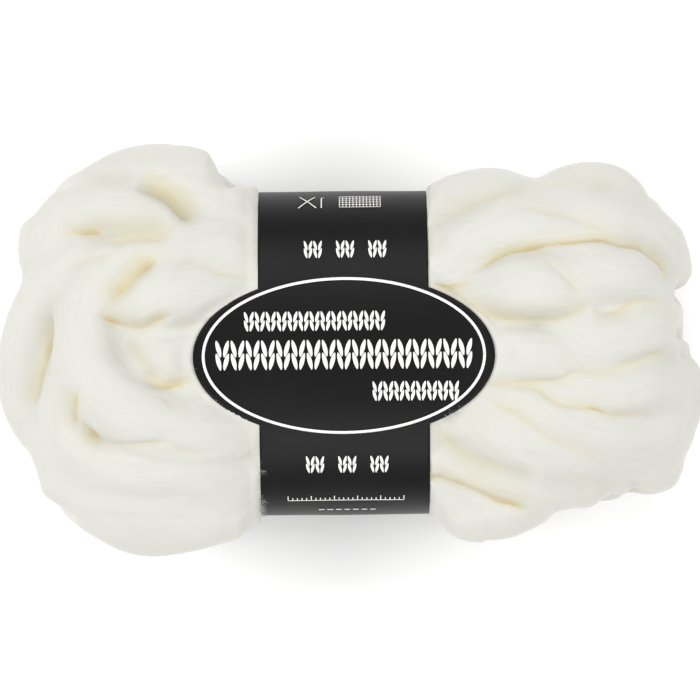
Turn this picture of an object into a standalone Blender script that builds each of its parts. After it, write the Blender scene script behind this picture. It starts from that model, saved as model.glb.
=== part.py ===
"""A skein of very thick roving yarn, lying on its back and drawn in at the waist by a die-cut paper band.

Metres, +Z up. X runs along the skein and Y across it, and the side with the band's oval looks up.
The origin lies on the surface that the skein rests on, under the middle of its box.
All sizes below are in millimetres and are turned to metres where a mesh is made.
"""

import itertools
import math
from collections import namedtuple

import bmesh
import bpy
import numpy as np

MM = 0.001

# ---------------------------------------------------------------- driving sizes
MID_HEIGHT = 62.0  # the skein's middle plane above the surface it lies on
REACH = 160.0  # from the middle of the skein to the end of its longest turns
GIRTH_AT_BAND = 0.74  # how much thinner a strand is where the band squeezes it
SQUEEZE_FROM, SQUEEZE_TO = 34.0, 74.0  # the stretch beside the band where a strand swells to its full girth
CROWN_POWER = 2.4  # the roundness of the skein's cross-section; 2 is an ellipse
UNDERSIDE_LEVEL = 2.5  # the height at which the skein's own weight flattens its underside

BAND_MIDDLE = (-3.1, -1.6)  # the band sits a little off the skein's middle
BAND_HALF_LENGTH = 39.0  # half the band's size along the skein
BAND_HALF_WIDTH = 73.9  # half the band's size across the skein
BAND_HALF_DEPTH = 53.0
BAND_TURN_DEG = 0.6  # the band sits slightly askew
BAND_THICKNESS = 1.0
BAND_GAP = 0.35  # between the yarn and the paper
OVAL_HALF_LENGTH = 68.5  # half the oval front's size along the skein
OVAL_HALF_WIDTH = 37.6
OVAL_OFFSET = 1.0  # the oval's middle lies this far round from the front's middle
WING_RISE = 0.0016  # how fast the oval's free ends bend up, in mm for each square mm
PRESS_MARGIN = 1.0  # how far inside the paper the yarn is pressed
PRESSED_PAST_EDGE = 3.5  # how far past the paper's edge it stays pressed
SWELL_WITHIN, SWELL_RISE = 4.5, 9.0  # the stretch beyond, over which it swells, and how far

VOXEL = 2.6  # the fineness at which the strands are made one
SKEIN_TRIANGLES = 11400

# The wound body from its left end to its right: how far its flanks lie above and below the middle in plan,
# and half its depth.
Section = namedtuple("Section", "x top bottom half_depth")
BODY = (
    Section(-162, 20, -24, 8),
    Section(-156, 38, -42, 24),
    Section(-150, 54, -50, 36),
    Section(-134, 71, -69, 52),
    Section(-112, 87, -90, 62),
    Section(-86, 93, -94, 64),
    Section(-70, 91, -93, 62),
    Section(-62, 81, -91, 60),
    Section(-54, 75, -88, 58),
    Section(-40, 74, -79, 54),
    Section(0, 72, -76, 51),
    Section(38, 76, -78, 54),
    Section(54, 81, -88, 58),
    Section(68, 82, -88, 61),
    Section(84, 79, -80, 63),
    Section(98, 82, -73, 63),
    Section(115, 86, -71, 61),
    Section(126, 78, -63, 57),
    Section(134, 70, -63, 53),
    Section(148, 57, -62, 38),
    Section(154, 44, -54, 24),
    Section(160, 20, -26, 8),
)

# The strands over the front, each with its girth and its way: a row of stations (x, y, sink, full), from the
# top edge of the photo's side down. Sink is how far the strand's middle lies below where the body's crown
# bears it, and full is the share of its girth that it has there. A strand with a back value goes on round the
# end and returns under the band at that distance across. Some end with how far short of the body they turn.
Station = namedtuple("Station", "x y sink full", defaults=(1.0,))
Turn = namedtuple("Turn", "name girth back way short_by", defaults=(0.0,))
RIGHT_TURNS = (
    Turn("right_rim_low", 20, None, (
        (36, 68, 1), (50, 73, 1), (68, 73, 2), (84, 68, 8), (98, 62, 16),
    )),
    Turn("right_tuck", 15, None, (
        (36, 58, 3), (50, 63, 2), (64, 65, 4), (78, 62, 14),
    )),
    Turn("right_rim_high", 20, 70, (
        (78, 64, 14), (96, 73, 3), (113, 76, 0), (125, 70, 0), (132, 60, 4),
    )),
    Turn("right_saddle", 27, None, (
        (36, 41, 0), (54, 49, -1), (74, 55, -2), (96, 54, 1), (117, 49, 6), (134, 38, 18),
    )),
    Turn("right_hook", 20, 44, (
        (67, 67, 10), (92, 66, 2), (112, 62, -1), (130, 57, -1), (142, 48, 1), (146, 37, 4), (143, 27, 12),
    )),
    Turn("right_bean", 27, 18, (
        (84, 41, 14), (101, 37, 3), (115, 34, -2), (128, 32, 0), (138, 29, 9),
    ), 9),
    Turn("right_oval", 26, None, (
        (36, 20, 7), (47, 22, 7), (57, 25, 3), (70, 27, -1, 1.06), (84, 28, -2, 1.08), (97, 25, 1),
        (109, 18, 12),
    )),
    Turn("right_middle", 25, 0, (
        (82, 12, 14), (103, 5, 3), (121, 6, 0), (137, 10, 0),
    ), 7),
    Turn("right_cross", 24, None, (
        (40, 0, 1), (60, -1, 1), (79, -2, 0), (94, -5, 2), (110, -13, 12),
    )),
    Turn("right_wedge", 23, -14, (
        (60, -15, 12), (87, -17, 8), (105, -18, 2), (121, -18, 0), (136, -16, 0),
    )),
    Turn("right_sweep", 24, -34, (
        (48, -19, 4), (76, -24, 2), (94, -32, 0), (112, -39, 0), (130, -41, 0), (145, -36, 0),
    )),
    Turn("right_end_wall", 20, None, (
        (141, 12, 16), (149, -8, 2), (151, -26, 2), (146, -46, 4),
    )),
    Turn("right_low_lobe", 21, -56, (
        (114, -52, 12), (129, -53, 2), (142, -50, 0),
    )),
    Turn("right_low_sweep", 25, None, (
        (42, -33, 2), (62, -38, -1), (85, -47, -1), (104, -52, 2), (118, -55, 11),
    )),
    Turn("right_low_rim", 21, None, (
        (37, -50, 1), (59, -58, 1), (82, -63, 1), (101, -61, 3), (114, -57, 12),
    )),
    Turn("right_foot", 22, None, (
        (36, -65, 1), (55, -76, 0), (70, -75, 0), (86, -67, 6), (100, -60, 16),
    )),
)
LEFT_TURNS = (
    Turn("left_rim_low", 17, None, (
        (-41, 66, 1), (-51, 65, 0), (-62, 61, 2), (-74, 57, 10),
    )),
    Turn("left_arch", 20, 66, (
        (-43, 57, 2), (-57, 65, 0), (-69, 80, 0), (-83, 84, 0), (-100, 83, 0), (-114, 75, 0),
    )),
    Turn("left_shoulder", 24, None, (
        (-73, 55, 12), (-84, 59, 4), (-98, 62, -1), (-114, 63, -2), (-128, 59, -1), (-136, 50, 0),
        (-139, 38, 6), (-132, 26, 16),
    )),
    Turn("left_outer", 21, None, (
        (-97, 43, 12), (-115, 42, 5), (-131, 34, 2), (-142, 20, 0), (-149, 2, 0), (-150, -16, 0),
        (-145, -32, 3), (-136, -46, 12),
    )),
    Turn("left_loop", 26, None, (
        (-42, 44, 1), (-66, 46, 2), (-86, 46, 2), (-102, 40, 1), (-114, 28, -1), (-120, 12, -3, 1.02),
        (-119, -4, -4, 1.04), (-110, -19, -4, 1.1), (-96, -29, -3, 1.15), (-72, -37, -1, 1.08), (-42, -44, 1),
    )),
    Turn("left_inner_rim", 23, None, (
        (-116, 8, 13), (-123, -7, 6), (-129, -23, 2), (-126, -38, 1), (-114, -51, 0), (-91, -56, 0),
        (-68, -58, 0), (-43, -60, 1),
    )),
    Turn("left_heel", 19, None, (
        (-139, -32, 12), (-136, -46, 1), (-128, -60, 0), (-111, -70, 0), (-86, -73, 0), (-64, -72, 0),
        (-43, -68, 2),
    )),
    Turn("left_foot", 20, -64, (
        (-41, -71, 2), (-54, -77, 0), (-74, -82, 0), (-95, -84, 0), (-111, -77, 0),
    )),
    Turn("left_curl", 24, None, (
        (-106, 16, 9), (-97, 21, 1, 1.12), (-84, 25, -1, 1.22), (-66, 26, 0, 1.15), (-44, 27, 2),
    )),
    Turn("left_inner", 24, None, (
        (-101, 0, 13), (-84, -5, 2), (-68, -4, 1), (-44, -3, 2),
    )),
    Turn("left_fill_high", 16, None, (
        (-86, 40, 10), (-66, 36, 3), (-42, 35, 2),
    )),
    Turn("left_fill_low", 17, None, (
        (-92, -19, 12), (-68, -24, 3), (-42, -25, 2),
    )),
)

# The underside isn't seen: plain turns, evenly spread, that come round each end from the front.
BACK_TURNS_EACH_END = 8
BACK_GIRTH = 24.0
BACK_SPREAD = 64.0  # how far across the outermost ones lie
BACK_INSET = 6.0  # how far they stay inside the outline, which the turns in front make

# The two long sides aren't seen either: turns laid one inside the other, like the windings of a hank. Each
# has its height off the middle plane, and how far short of the body's end it turns.
Nest = namedtuple("Nest", "height short_by")
SIDE_NESTS = (Nest(32, 14), Nest(11, 30))
NEST_GIRTH = 22.5

# Where a strand runs out of sight: how far along the skein, and which share of its distance across, or of its
# height, it has there.
Stop = namedtuple("Stop", "x share")
UNDER_BAND = Stop(8, 0.9)
UNDERSIDE = (Stop(84, 1.0), Stop(40, 0.85), Stop(8, 0.8))
SIDES = (Stop(12, 0.75), Stop(42, 0.8), Stop(66, 1.0), Stop(88, 1.0))
UNDERSIDE_BEND = 128.0  # where a strand that came round the end reaches the underside
BURIED_END = 4.0  # how deep its two ends lie in the waist

TUBE_STEP = 7.0  # between the points along a strand
STRAND_BEVEL_RESOLUTION = 3
CORE_DEPTH, CORE_DEPTH_AT_BAND = 12.0, 3.0  # how far the filling lies inside the body's outline
CORE_FULL_TO, CORE_THIN_FROM = 36.0, 62.0  # the stretch over which it goes from the one to the other
CORE_SHORT_BY = 20.0  # and how far it stops short of the ends
CORE_BLUNTNESS = 1.6  # 1 is a ball's round end, and more is blunter


# ---------------------------------------------------------------- the body's form
def body_at(x, y):
    """How far the body's flank lies from the middle at x, on y's side, and half the body's depth there."""
    stations = [section.x for section in BODY]
    flank = np.interp(x, stations, [section.top if y > 0 else -section.bottom for section in BODY])
    return float(flank), float(np.interp(x, stations, [section.half_depth for section in BODY]))


def crown(x, y, radius, side=1):
    """The height of the middle of a strand that lies on the body's front (side 1) or back (side -1)."""
    flank, half_depth = body_at(x, y)
    across = min(abs(y) / flank, 1.0)
    rise = (1 - across**CROWN_POWER) ** (1 / CROWN_POWER)
    return MID_HEIGHT + side * max(half_depth - radius, 0) * rise


def reach_at(end, y):
    """How far from the middle the body's right (end 1) or left (end -1) end lies, at a distance across it."""
    reach = BODY[-1].x
    while body_at(end * reach, y)[0] < abs(y):
        reach -= 1
    return reach


def smooth_step(value, low, high):
    """Rises smoothly from 0 at low to 1 at high."""
    t = min(max((value - low) / (high - low), 0), 1)
    return t * t * (3 - 2 * t)


def squeeze(x):
    """The share of its full girth that a strand keeps at a distance along the skein."""
    return GIRTH_AT_BAND + (1 - GIRTH_AT_BAND) * smooth_step(abs(x), SQUEEZE_FROM, SQUEEZE_TO)


# ---------------------------------------------------------------- strands
def wound_way(turn):
    """The points of a turn's middle, as (x, y, z, full): out of the waist, over the front and back below."""
    radius = turn.girth / 2
    stations = [Station(*row) for row in turn.way]
    points = [(s.x, s.y, crown(s.x, s.y, radius * squeeze(s.x)) - s.sink, s.full) for s in stations]
    first, last = stations[0], stations[-1]
    end = math.copysign(1, first.x)
    for station, place in ((first, 0), (last, len(points))):
        if abs(station.x) < SQUEEZE_FROM + 10:
            at, across = end * UNDER_BAND.x, station.y * UNDER_BAND.share
            points.insert(place, (at, across, crown(at, across, radius) - BURIED_END, 1.0))
    if turn.back is None:
        return points
    middle = (last.y + turn.back) / 2
    turn_at = reach_at(end, middle) - radius - turn.short_by
    points.append((end * turn_at, middle, MID_HEIGHT, 1.0))
    bend = min(UNDERSIDE_BEND, reach_at(end, turn.back) - 1.5 * radius)
    for stop in (Stop(bend, 1.0), *UNDERSIDE):
        at, across = end * stop.x, turn.back * stop.share
        points.append((at, across, crown(at, across, radius * squeeze(at), -1), 1.0))
    return points


def back_turns():
    """Plain turns for the underside of both ends, each a little different from the next."""
    turns = []
    for side, end_name in ((1, "right"), (-1, "left")):
        for i in range(BACK_TURNS_EACH_END):
            back = BACK_SPREAD * (2 * i / (BACK_TURNS_EACH_END - 1) - 1) + 3 * math.sin(2.3 * i + side)
            front = back * 0.9 + 6 * math.sin(1.7 * i + 2 * side)
            inner, outer = (reach_at(side, front) - BACK_INSET - share * BACK_GIRTH for share in (1.5, 0.9))
            way = ((side * inner, front, 18), (side * outer, front, 12))
            turns.append(Turn(f"{end_name}_back_{i}", BACK_GIRTH, back, way, BACK_INSET))
    return turns


def nested_way(end, edge, nest):
    """The points (x, y, z, full) of a turn that fills a long side: out of the waist, round and back in."""
    radius = NEST_GIRTH / 2
    turn_at = reach_at(end, edge * BACK_SPREAD) - nest.short_by - radius
    bend = turn_at - 0.6 * nest.height
    outward = []
    for stop in (*SIDES, Stop(bend, 0.9)):
        if stop.x <= bend:
            across = body_at(end * stop.x, edge)[0] - radius * squeeze(stop.x) - 3
            outward.append((end * stop.x, edge * across, nest.height * stop.share))
    tip = (end * turn_at, edge * (body_at(end * turn_at, edge)[0] - 1.6 * radius), 0)
    homeward = [(x, y, -height) for x, y, height in reversed(outward)]
    return [(x, y, MID_HEIGHT + height, 1.0) for x, y, height in (*outward, tip, *homeward)]


def smooth_line(points, step):
    """A Catmull-Rom line through the points, with points about a step apart."""
    line = np.array(points, float)
    ends = np.vstack([2 * line[0] - line[1], line, 2 * line[-1] - line[-2]])
    drawn = []
    for a, b, c, d in zip(ends, ends[1:], ends[2:], ends[3:]):
        count = max(2, round(np.linalg.norm(c - b) / step))
        for t in np.linspace(0, 1, count, endpoint=False):
            drawn.append(
                b + 0.5 * t * ((c - a) + t * ((2 * a - 5 * b + 4 * c - d) + t * (3 * (b - c) + d - a)))
            )
    drawn.append(line[-1])
    return drawn


def strand_mesh(name, girth, way):
    """One strand as a closed mesh: a bevelled curve, thinner towards the band."""
    curve = bpy.data.curves.new(name, "CURVE")
    curve.dimensions = "3D"
    curve.bevel_depth = girth / 2 * MM
    curve.bevel_resolution = STRAND_BEVEL_RESOLUTION
    curve.use_fill_caps = True
    line = smooth_line(way, TUBE_STEP)
    spline = curve.splines.new("POLY")
    spline.points.add(len(line) - 1)
    for point, (x, y, z, full) in zip(spline.points, line):
        point.co = (x * MM, y * MM, z * MM, 1)
        point.radius = full * squeeze(x)
    guide = bpy.data.objects.new(name, curve)
    bpy.context.scene.collection.objects.link(guide)
    bpy.context.view_layer.update()
    mesh = bpy.data.meshes.new_from_object(guide.evaluated_get(bpy.context.evaluated_depsgraph_get()))
    bpy.data.objects.remove(guide)
    bpy.data.curves.remove(curve)
    return mesh


def core_mesh():
    """What fills the middle of the skein: a rounded body that every strand overlaps."""
    shape = bmesh.new()
    bmesh.ops.create_uvsphere(shape, u_segments=32, v_segments=24, radius=1)
    for vertex in shape.verts:
        x = vertex.co.x * (REACH - CORE_SHORT_BY)
        flank, half_depth = body_at(x, vertex.co.y)
        around = math.hypot(vertex.co.y, vertex.co.z) or 1.0
        fullness = min(1.0, CORE_BLUNTNESS * around)
        thinner = smooth_step(abs(x), CORE_FULL_TO, CORE_THIN_FROM)
        depth = CORE_DEPTH_AT_BAND + (CORE_DEPTH - CORE_DEPTH_AT_BAND) * thinner
        vertex.co.x = x * MM
        vertex.co.y = vertex.co.y / around * (flank - depth) * fullness * MM
        vertex.co.z = (MID_HEIGHT + vertex.co.z / around * (half_depth - depth) * fullness) * MM
    mesh = bpy.data.meshes.new("core")
    shape.to_mesh(mesh)
    shape.free()
    return mesh


# ---------------------------------------------------------------- the band's form
def band_profile(points=720):
    """The ring that the band follows from the front's middle round, as (distance, across, height)."""
    angle = np.linspace(0, 2 * math.pi, points + 1)
    sine, cosine = np.sin(angle), np.cos(angle)
    across = -np.sign(sine) * np.abs(sine) ** (2 / CROWN_POWER) * BAND_HALF_WIDTH
    height = np.sign(cosine) * np.abs(cosine) ** (2 / CROWN_POWER) * BAND_HALF_DEPTH
    run = np.concatenate([[0], np.cumsum(np.hypot(np.diff(across), np.diff(height)))])
    return run, across, height


PROFILE = band_profile()
BAND_LENGTH = float(PROFILE[0][-1])  # the paper's length round the skein


def band_half_length(run):
    """Half the paper's size along the skein, at a distance round the ring from the front's middle."""
    inside = max(0.0, 1 - ((run - OVAL_OFFSET) / OVAL_HALF_WIDTH) ** 2)
    return max(BAND_HALF_LENGTH, OVAL_HALF_LENGTH * math.sqrt(inside))


def band_point(run, along, out=0.0):
    """A point of the paper's inner face, moved outwards by a distance, in the skein's frame."""
    lengths, across, height = PROFILE
    place = run % BAND_LENGTH
    y, z = np.interp(place, lengths, across), np.interp(place, lengths, height)
    ahead, behind = (place + 1) % BAND_LENGTH, (place - 1) % BAND_LENGTH
    tangent = np.array(
        [np.interp(ahead, lengths, k) - np.interp(behind, lengths, k) for k in (across, height)]
    )
    normal = np.array([tangent[1], -tangent[0]]) / np.hypot(*tangent)
    if normal @ (y, z) < 0:
        normal = -normal
    wing = max(0.0, abs(along) - BAND_HALF_LENGTH)
    out += WING_RISE * wing * wing
    return (*from_band(along, y + normal[0] * out), MID_HEIGHT + z + normal[1] * out)


def to_band(x, y):
    """A point of the skein's plan as the band sees it: along and across, from the band's middle."""
    turn = math.radians(BAND_TURN_DEG)
    dx, dy = x - BAND_MIDDLE[0], y - BAND_MIDDLE[1]
    return dx * math.cos(turn) + dy * math.sin(turn), dy * math.cos(turn) - dx * math.sin(turn)


def from_band(along, across):
    """The other way round: a point of the band's own plan in the skein's plan."""
    turn = math.radians(BAND_TURN_DEG)
    return (
        BAND_MIDDLE[0] + along * math.cos(turn) - across * math.sin(turn),
        BAND_MIDDLE[1] + along * math.sin(turn) + across * math.cos(turn),
    )


# ---------------------------------------------------------------- the two pieces
def material(name, colour, roughness):
    """A Principled material of one plain colour."""
    made = bpy.data.materials.new(name)
    made.use_nodes = True
    shader = made.node_tree.nodes["Principled BSDF"]
    shader.inputs["Base Color"].default_value = (*colour, 1)
    shader.inputs["Roughness"].default_value = roughness
    return made


def apply_modifiers(thing):
    """The object's mesh with its modifiers applied, in their place."""
    bpy.context.view_layer.update()
    mesh = bpy.data.meshes.new_from_object(thing.evaluated_get(bpy.context.evaluated_depsgraph_get()))
    thing.modifiers.clear()
    thing.data = mesh


def cinch(mesh):
    """Presses the yarn in under the paper, and lets it swell again just past the paper's edge."""
    mean_half = (BAND_HALF_WIDTH + BAND_HALF_DEPTH) / 2
    for vertex in mesh.vertices:
        x, y, z = (c / MM for c in vertex.co)
        along, across = to_band(x, y)
        height = z - MID_HEIGHT
        ring = abs(across / BAND_HALF_WIDTH) ** CROWN_POWER + abs(height / BAND_HALF_DEPTH) ** CROWN_POWER
        ring **= 1 / CROWN_POWER
        run = -across if height > 0 else BAND_LENGTH / 2
        past = abs(along) - band_half_length(run) - PRESSED_PAST_EDGE
        if past > SWELL_WITHIN or ring < 0.5:
            continue
        wing = max(0.0, abs(along) - BAND_HALF_LENGTH)
        swell = SWELL_RISE * (max(0.0, past) / SWELL_WITHIN) ** 2
        room = 1 + (WING_RISE * wing * wing - PRESS_MARGIN + swell) / mean_half
        if ring > room:
            x, y = from_band(along, across * room / ring)
            vertex.co = (x * MM, y * MM, (MID_HEIGHT + height * room / ring) * MM)


def keep_outer_body(mesh):
    """Leaves the outer surface alone, without the small closed hollows inside the yarn."""
    shape = bmesh.new()
    shape.from_mesh(mesh)
    waiting = set(shape.verts)
    bodies = []
    while waiting:
        body, edge_of_body = set(), [waiting.pop()]
        while edge_of_body:
            vertex = edge_of_body.pop()
            body.add(vertex)
            near = {edge.other_vert(vertex) for edge in vertex.link_edges} & waiting
            waiting -= near
            edge_of_body.extend(near)
        bodies.append(body)
    bodies.sort(key=len)
    for hollow in bodies[:-1]:
        bmesh.ops.delete(shape, geom=list(hollow), context="VERTS")
    shape.to_mesh(mesh)
    shape.free()


def yarn_skein(collection):
    """The wound yarn as one solid: strands made one with the core, drawn in by the band and flat below."""
    joined = bmesh.new()
    for turn in (*RIGHT_TURNS, *LEFT_TURNS, *back_turns()):
        joined.from_mesh(strand_mesh(turn.name, turn.girth, wound_way(turn)))
    for end, edge, nest in itertools.product((1, -1), (1, -1), SIDE_NESTS):
        joined.from_mesh(strand_mesh("side_nest", NEST_GIRTH, nested_way(end, edge, nest)))
    joined.from_mesh(core_mesh())
    bmesh.ops.remove_doubles(joined, verts=joined.verts, dist=1e-6)  # welds the strands' caps
    mesh = bpy.data.meshes.new("yarn_skein")
    joined.to_mesh(mesh)
    joined.free()
    skein = bpy.data.objects.new("yarn_skein", mesh)
    collection.objects.link(skein)

    remesh = skein.modifiers.new("one_body", "REMESH")
    remesh.mode = "VOXEL"
    remesh.voxel_size = VOXEL * MM
    soften = skein.modifiers.new("soften", "SMOOTH")
    soften.iterations = 2
    apply_modifiers(skein)
    keep_outer_body(skein.data)
    cinch(skein.data)
    thin = skein.modifiers.new("thin_out", "DECIMATE")
    thin.ratio = min(1.0, SKEIN_TRIANGLES / (2 * len(skein.data.polygons)))
    apply_modifiers(skein)
    cinch(skein.data)
    flatten_underside(skein.data)
    keep_outer_body(skein.data)
    skein.data.materials.append(material("roving_yarn", (0.84, 0.83, 0.77), 0.95))
    return skein


def flatten_underside(mesh):
    """Cuts the skein level where it lies on its own weight, and closes the cut."""
    shape = bmesh.new()
    shape.from_mesh(mesh)
    cut = bmesh.ops.bisect_plane(
        shape,
        geom=[*shape.verts, *shape.edges, *shape.faces],
        dist=1e-6,
        plane_co=(0, 0, UNDERSIDE_LEVEL * MM),
        plane_no=(0, 0, -1),
        clear_outer=True,
    )
    rim = [edge for edge in cut["geom_cut"] if isinstance(edge, bmesh.types.BMEdge)]
    bmesh.ops.holes_fill(shape, edges=rim, sides=0)
    bmesh.ops.triangulate(shape, faces=shape.faces)
    shape.to_mesh(mesh)
    shape.free()
    for polygon in mesh.polygons:
        polygon.use_smooth = True


def label_band(collection):
    """The die-cut paper: a ring round the waist that widens into an oval over the front."""
    corner = OVAL_HALF_WIDTH * math.sqrt(1 - (BAND_HALF_LENGTH / OVAL_HALF_LENGTH) ** 2)
    runs = (
        *np.linspace(-BAND_LENGTH / 2, OVAL_OFFSET - corner, 27)[:-1],
        *(OVAL_OFFSET + corner * np.sin(np.linspace(-math.pi / 2, math.pi / 2, 25))),
        *np.linspace(OVAL_OFFSET + corner, BAND_LENGTH / 2, 27)[1:-1],
    )
    columns = 13
    shape = bmesh.new()
    rows = []
    for run in runs:
        half = band_half_length(run)
        row = []
        for share in np.linspace(-1, 1, columns):
            x, y, z = band_point(run, share * half, BAND_GAP)
            row.append(shape.verts.new((x * MM, y * MM, z * MM)))
        rows.append(row)
    for row, following in zip(rows, [*rows[1:], rows[0]]):
        for i in range(columns - 1):
            shape.faces.new((row[i], row[i + 1], following[i + 1], following[i]))
    bmesh.ops.recalc_face_normals(shape, faces=shape.faces)
    mesh = bpy.data.meshes.new("label_band")
    shape.to_mesh(mesh)
    shape.free()
    band = bpy.data.objects.new("label_band", mesh)
    collection.objects.link(band)
    paper = band.modifiers.new("paper", "SOLIDIFY")
    paper.thickness = BAND_THICKNESS * MM
    paper.offset = 1
    paper.use_even_offset = True
    apply_modifiers(band)
    for polygon in band.data.polygons:
        polygon.use_smooth = True
    band.data.materials.append(material("label_paper", (0.02, 0.02, 0.022), 0.45))
    return band


def stand_on_origin(things):
    """Moves every piece so that the box's bottom middle is the origin."""
    points = np.array([v.co for thing in things for v in thing.data.vertices])
    low, high = points.min(0), points.max(0)
    shift = (-(low[0] + high[0]) / 2, -(low[1] + high[1]) / 2, -low[2])
    for thing in things:
        for vertex in thing.data.vertices:
            vertex.co = [c + s for c, s in zip(vertex.co, shift)]


def main():
    """Builds the skein and its band on the origin."""
    for old in list(bpy.data.objects):
        bpy.data.objects.remove(old)
    collection = bpy.data.collections.new("yarn skein in a paper band")
    bpy.context.scene.collection.children.link(collection)
    stand_on_origin([yarn_skein(collection), label_band(collection)])


main()
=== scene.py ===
"""The looks of a skein of very thick roving yarn that a die-cut paper band draws in at the waist.

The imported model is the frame: metres, +Z up, X along the skein, and the side with the band's oval looks up.
Sizes in this file are in millimetres, in the frame of the skein as it was drawn, and are turned to metres and
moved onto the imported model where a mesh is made. Everything is laid by plain arithmetic on the points of a
primitive, and nothing is simulated.
"""

import itertools
import logging
import math
from collections.abc import Callable, Sequence
from dataclasses import dataclass, field
from enum import Enum
from typing import NamedTuple

import bpy
import numpy as np
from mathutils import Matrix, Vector


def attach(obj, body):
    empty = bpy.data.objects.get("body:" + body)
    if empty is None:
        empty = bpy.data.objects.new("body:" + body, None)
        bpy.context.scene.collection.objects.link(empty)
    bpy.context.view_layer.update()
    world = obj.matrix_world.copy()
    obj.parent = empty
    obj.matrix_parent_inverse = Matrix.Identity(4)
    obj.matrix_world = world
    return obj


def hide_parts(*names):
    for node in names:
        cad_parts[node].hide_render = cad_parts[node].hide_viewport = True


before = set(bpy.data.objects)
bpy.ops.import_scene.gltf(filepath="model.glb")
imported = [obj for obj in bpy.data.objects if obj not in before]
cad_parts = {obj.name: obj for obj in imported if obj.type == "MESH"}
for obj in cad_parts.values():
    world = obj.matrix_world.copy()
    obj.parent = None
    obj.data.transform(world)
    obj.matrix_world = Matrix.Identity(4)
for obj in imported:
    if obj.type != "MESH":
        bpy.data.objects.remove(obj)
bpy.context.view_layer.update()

LOG = logging.getLogger("yarn_skein")
MM = 0.001
SETTLED_BY = np.array((-0.1, -0.1, -2.5))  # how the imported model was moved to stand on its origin
FLOOR = 2.5  # the height, as drawn, of the surface that the skein lies on
FAR = 1e3  # farther off than anything on the skein

Array = np.ndarray
Point = tuple[float, float, float]


class End(Enum):
    """The skein's two ends, with the sign of X there."""

    RIGHT = 1
    LEFT = -1


class Side(Enum):
    """The skein's front, which the oval marks, and its back, which it lies on."""

    FRONT = 1
    BACK = -1


class Layer(Enum):
    """How a crevice's painted shade lies: wide and soft, or as a warm line in one of two crossing layers."""

    SHADE = "shade"
    FIRST = "crevice_1"
    SECOND = "crevice_2"


# ---------------------------------------------------------------- small tools
def deselect() -> None:
    """Leaves nothing selected."""
    bpy.ops.object.select_all(action="DESELECT")


def pick(*things: bpy.types.Object) -> None:
    """Selects these objects alone, and makes the first the active one.

    Args:
        *things: The objects.
    """
    deselect()
    for thing in things:
        thing.select_set(True)
    bpy.context.view_layer.objects.active = things[0]


def vectors_of(mesh: bpy.types.Mesh, kind: str = "co") -> Array:
    """Reads a vector of each of the mesh's points.

    Args:
        mesh: The mesh.
        kind: Which vector, as Blender names it: "co" is the point's place, "normal" the way that it faces.

    Returns:
        The vectors, one to a row.
    """
    flat = np.empty(len(mesh.vertices) * 3)
    mesh.vertices.foreach_get(kind, flat)
    return flat.reshape(-1, 3)


def move_points(mesh: bpy.types.Mesh, places: Array) -> None:
    """Moves each point of the mesh to its place, given in millimetres as drawn."""
    mesh.vertices.foreach_set("co", ((places + SETTLED_BY) * MM).ravel())
    mesh.update()


def write_attribute(mesh: bpy.types.Mesh, name: str, values: Array) -> None:
    """Keeps a number or a vector for each point of the mesh.

    Args:
        mesh: The mesh that the values belong to.
        name: The attribute's name, as the materials read it.
        values: One row for each point, of one number or three.
    """
    vector = values.ndim == 2
    kept = mesh.attributes.new(name, "FLOAT_VECTOR" if vector else "FLOAT", "POINT")
    kept.data.foreach_set("vector" if vector else "value", values.astype(np.float32).ravel())


def laid_grid(name: str, columns: int, rows: int, place: Callable[[Array, Array], Array]) -> bpy.types.Object:
    """A grid whose points are moved one by one to where they belong.

    Args:
        name: The new object's name.
        columns: How many faces it has along its length.
        rows: How many it has across.
        place: Gives the points' places in millimetres from their shares, 0 to 1, along and across the grid.

    Returns:
        The new object, which is the selected and active one.
    """
    deselect()
    bpy.ops.mesh.primitive_grid_add(x_subdivisions=columns, y_subdivisions=rows, size=1)
    thing = bpy.context.active_object
    thing.name = thing.data.name = name
    flat = vectors_of(thing.data)
    move_points(thing.data, place(flat[:, 0] + 0.5, flat[:, 1] + 0.5))
    return thing


def close_seams(thing: bpy.types.Object, within: float = 0.002) -> None:
    """Merges the points that meet at a seam or a pole, and turns the faces outwards.

    Args:
        thing: The object to close.
        within: How near, in millimetres, two points are that are the same.
    """
    pick(thing)
    bpy.ops.object.mode_set(mode="EDIT")
    bpy.ops.mesh.select_all(action="SELECT")
    bpy.ops.mesh.remove_doubles(threshold=within * MM)
    bpy.ops.mesh.dissolve_degenerate(threshold=within * MM / 10)
    bpy.ops.mesh.normals_make_consistent(inside=False)
    bpy.ops.object.mode_set(mode="OBJECT")


def finish_with(thing: bpy.types.Object, kind: str, **settings: float | str | bool) -> None:
    """Applies a new modifier to the active object.

    Args:
        thing: The object.
        kind: The modifier's type, as Blender names it.
        **settings: Values by the name of the modifier's property.
    """
    modifier = thing.modifiers.new(kind.lower(), kind)
    for key, value in settings.items():
        setattr(modifier, key, value)
    bpy.ops.object.modifier_apply(modifier=modifier.name)


def joined(name: str, things: Sequence[bpy.types.Object]) -> bpy.types.Object:
    """Makes several objects one.

    Args:
        name: The new object's name.
        things: The objects.

    Returns:
        The new object, which is the selected and active one.
    """
    pick(*things)
    bpy.ops.object.join()
    made = bpy.context.active_object
    made.name = made.data.name = name
    return made


def dress(thing: bpy.types.Object, material: bpy.types.Material) -> None:
    """Gives a finished piece its material, and lets it ride on the skein.

    Args:
        thing: The finished piece.
        material: What it is made of.
    """
    if not thing.data.materials:
        thing.data.materials.append(material)
    pick(thing)
    bpy.ops.object.shade_smooth()
    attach(thing, "root")
    LOG.info("%s: %d faces", thing.name, len(thing.data.polygons))


def smooth_step(values: Array, low: float, high: float) -> Array:
    """Rises smoothly from 0 at low to 1 at high."""
    t = np.clip((np.asarray(values, float) - low) / (high - low), 0, 1)
    return t * t * (3 - 2 * t)


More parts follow.
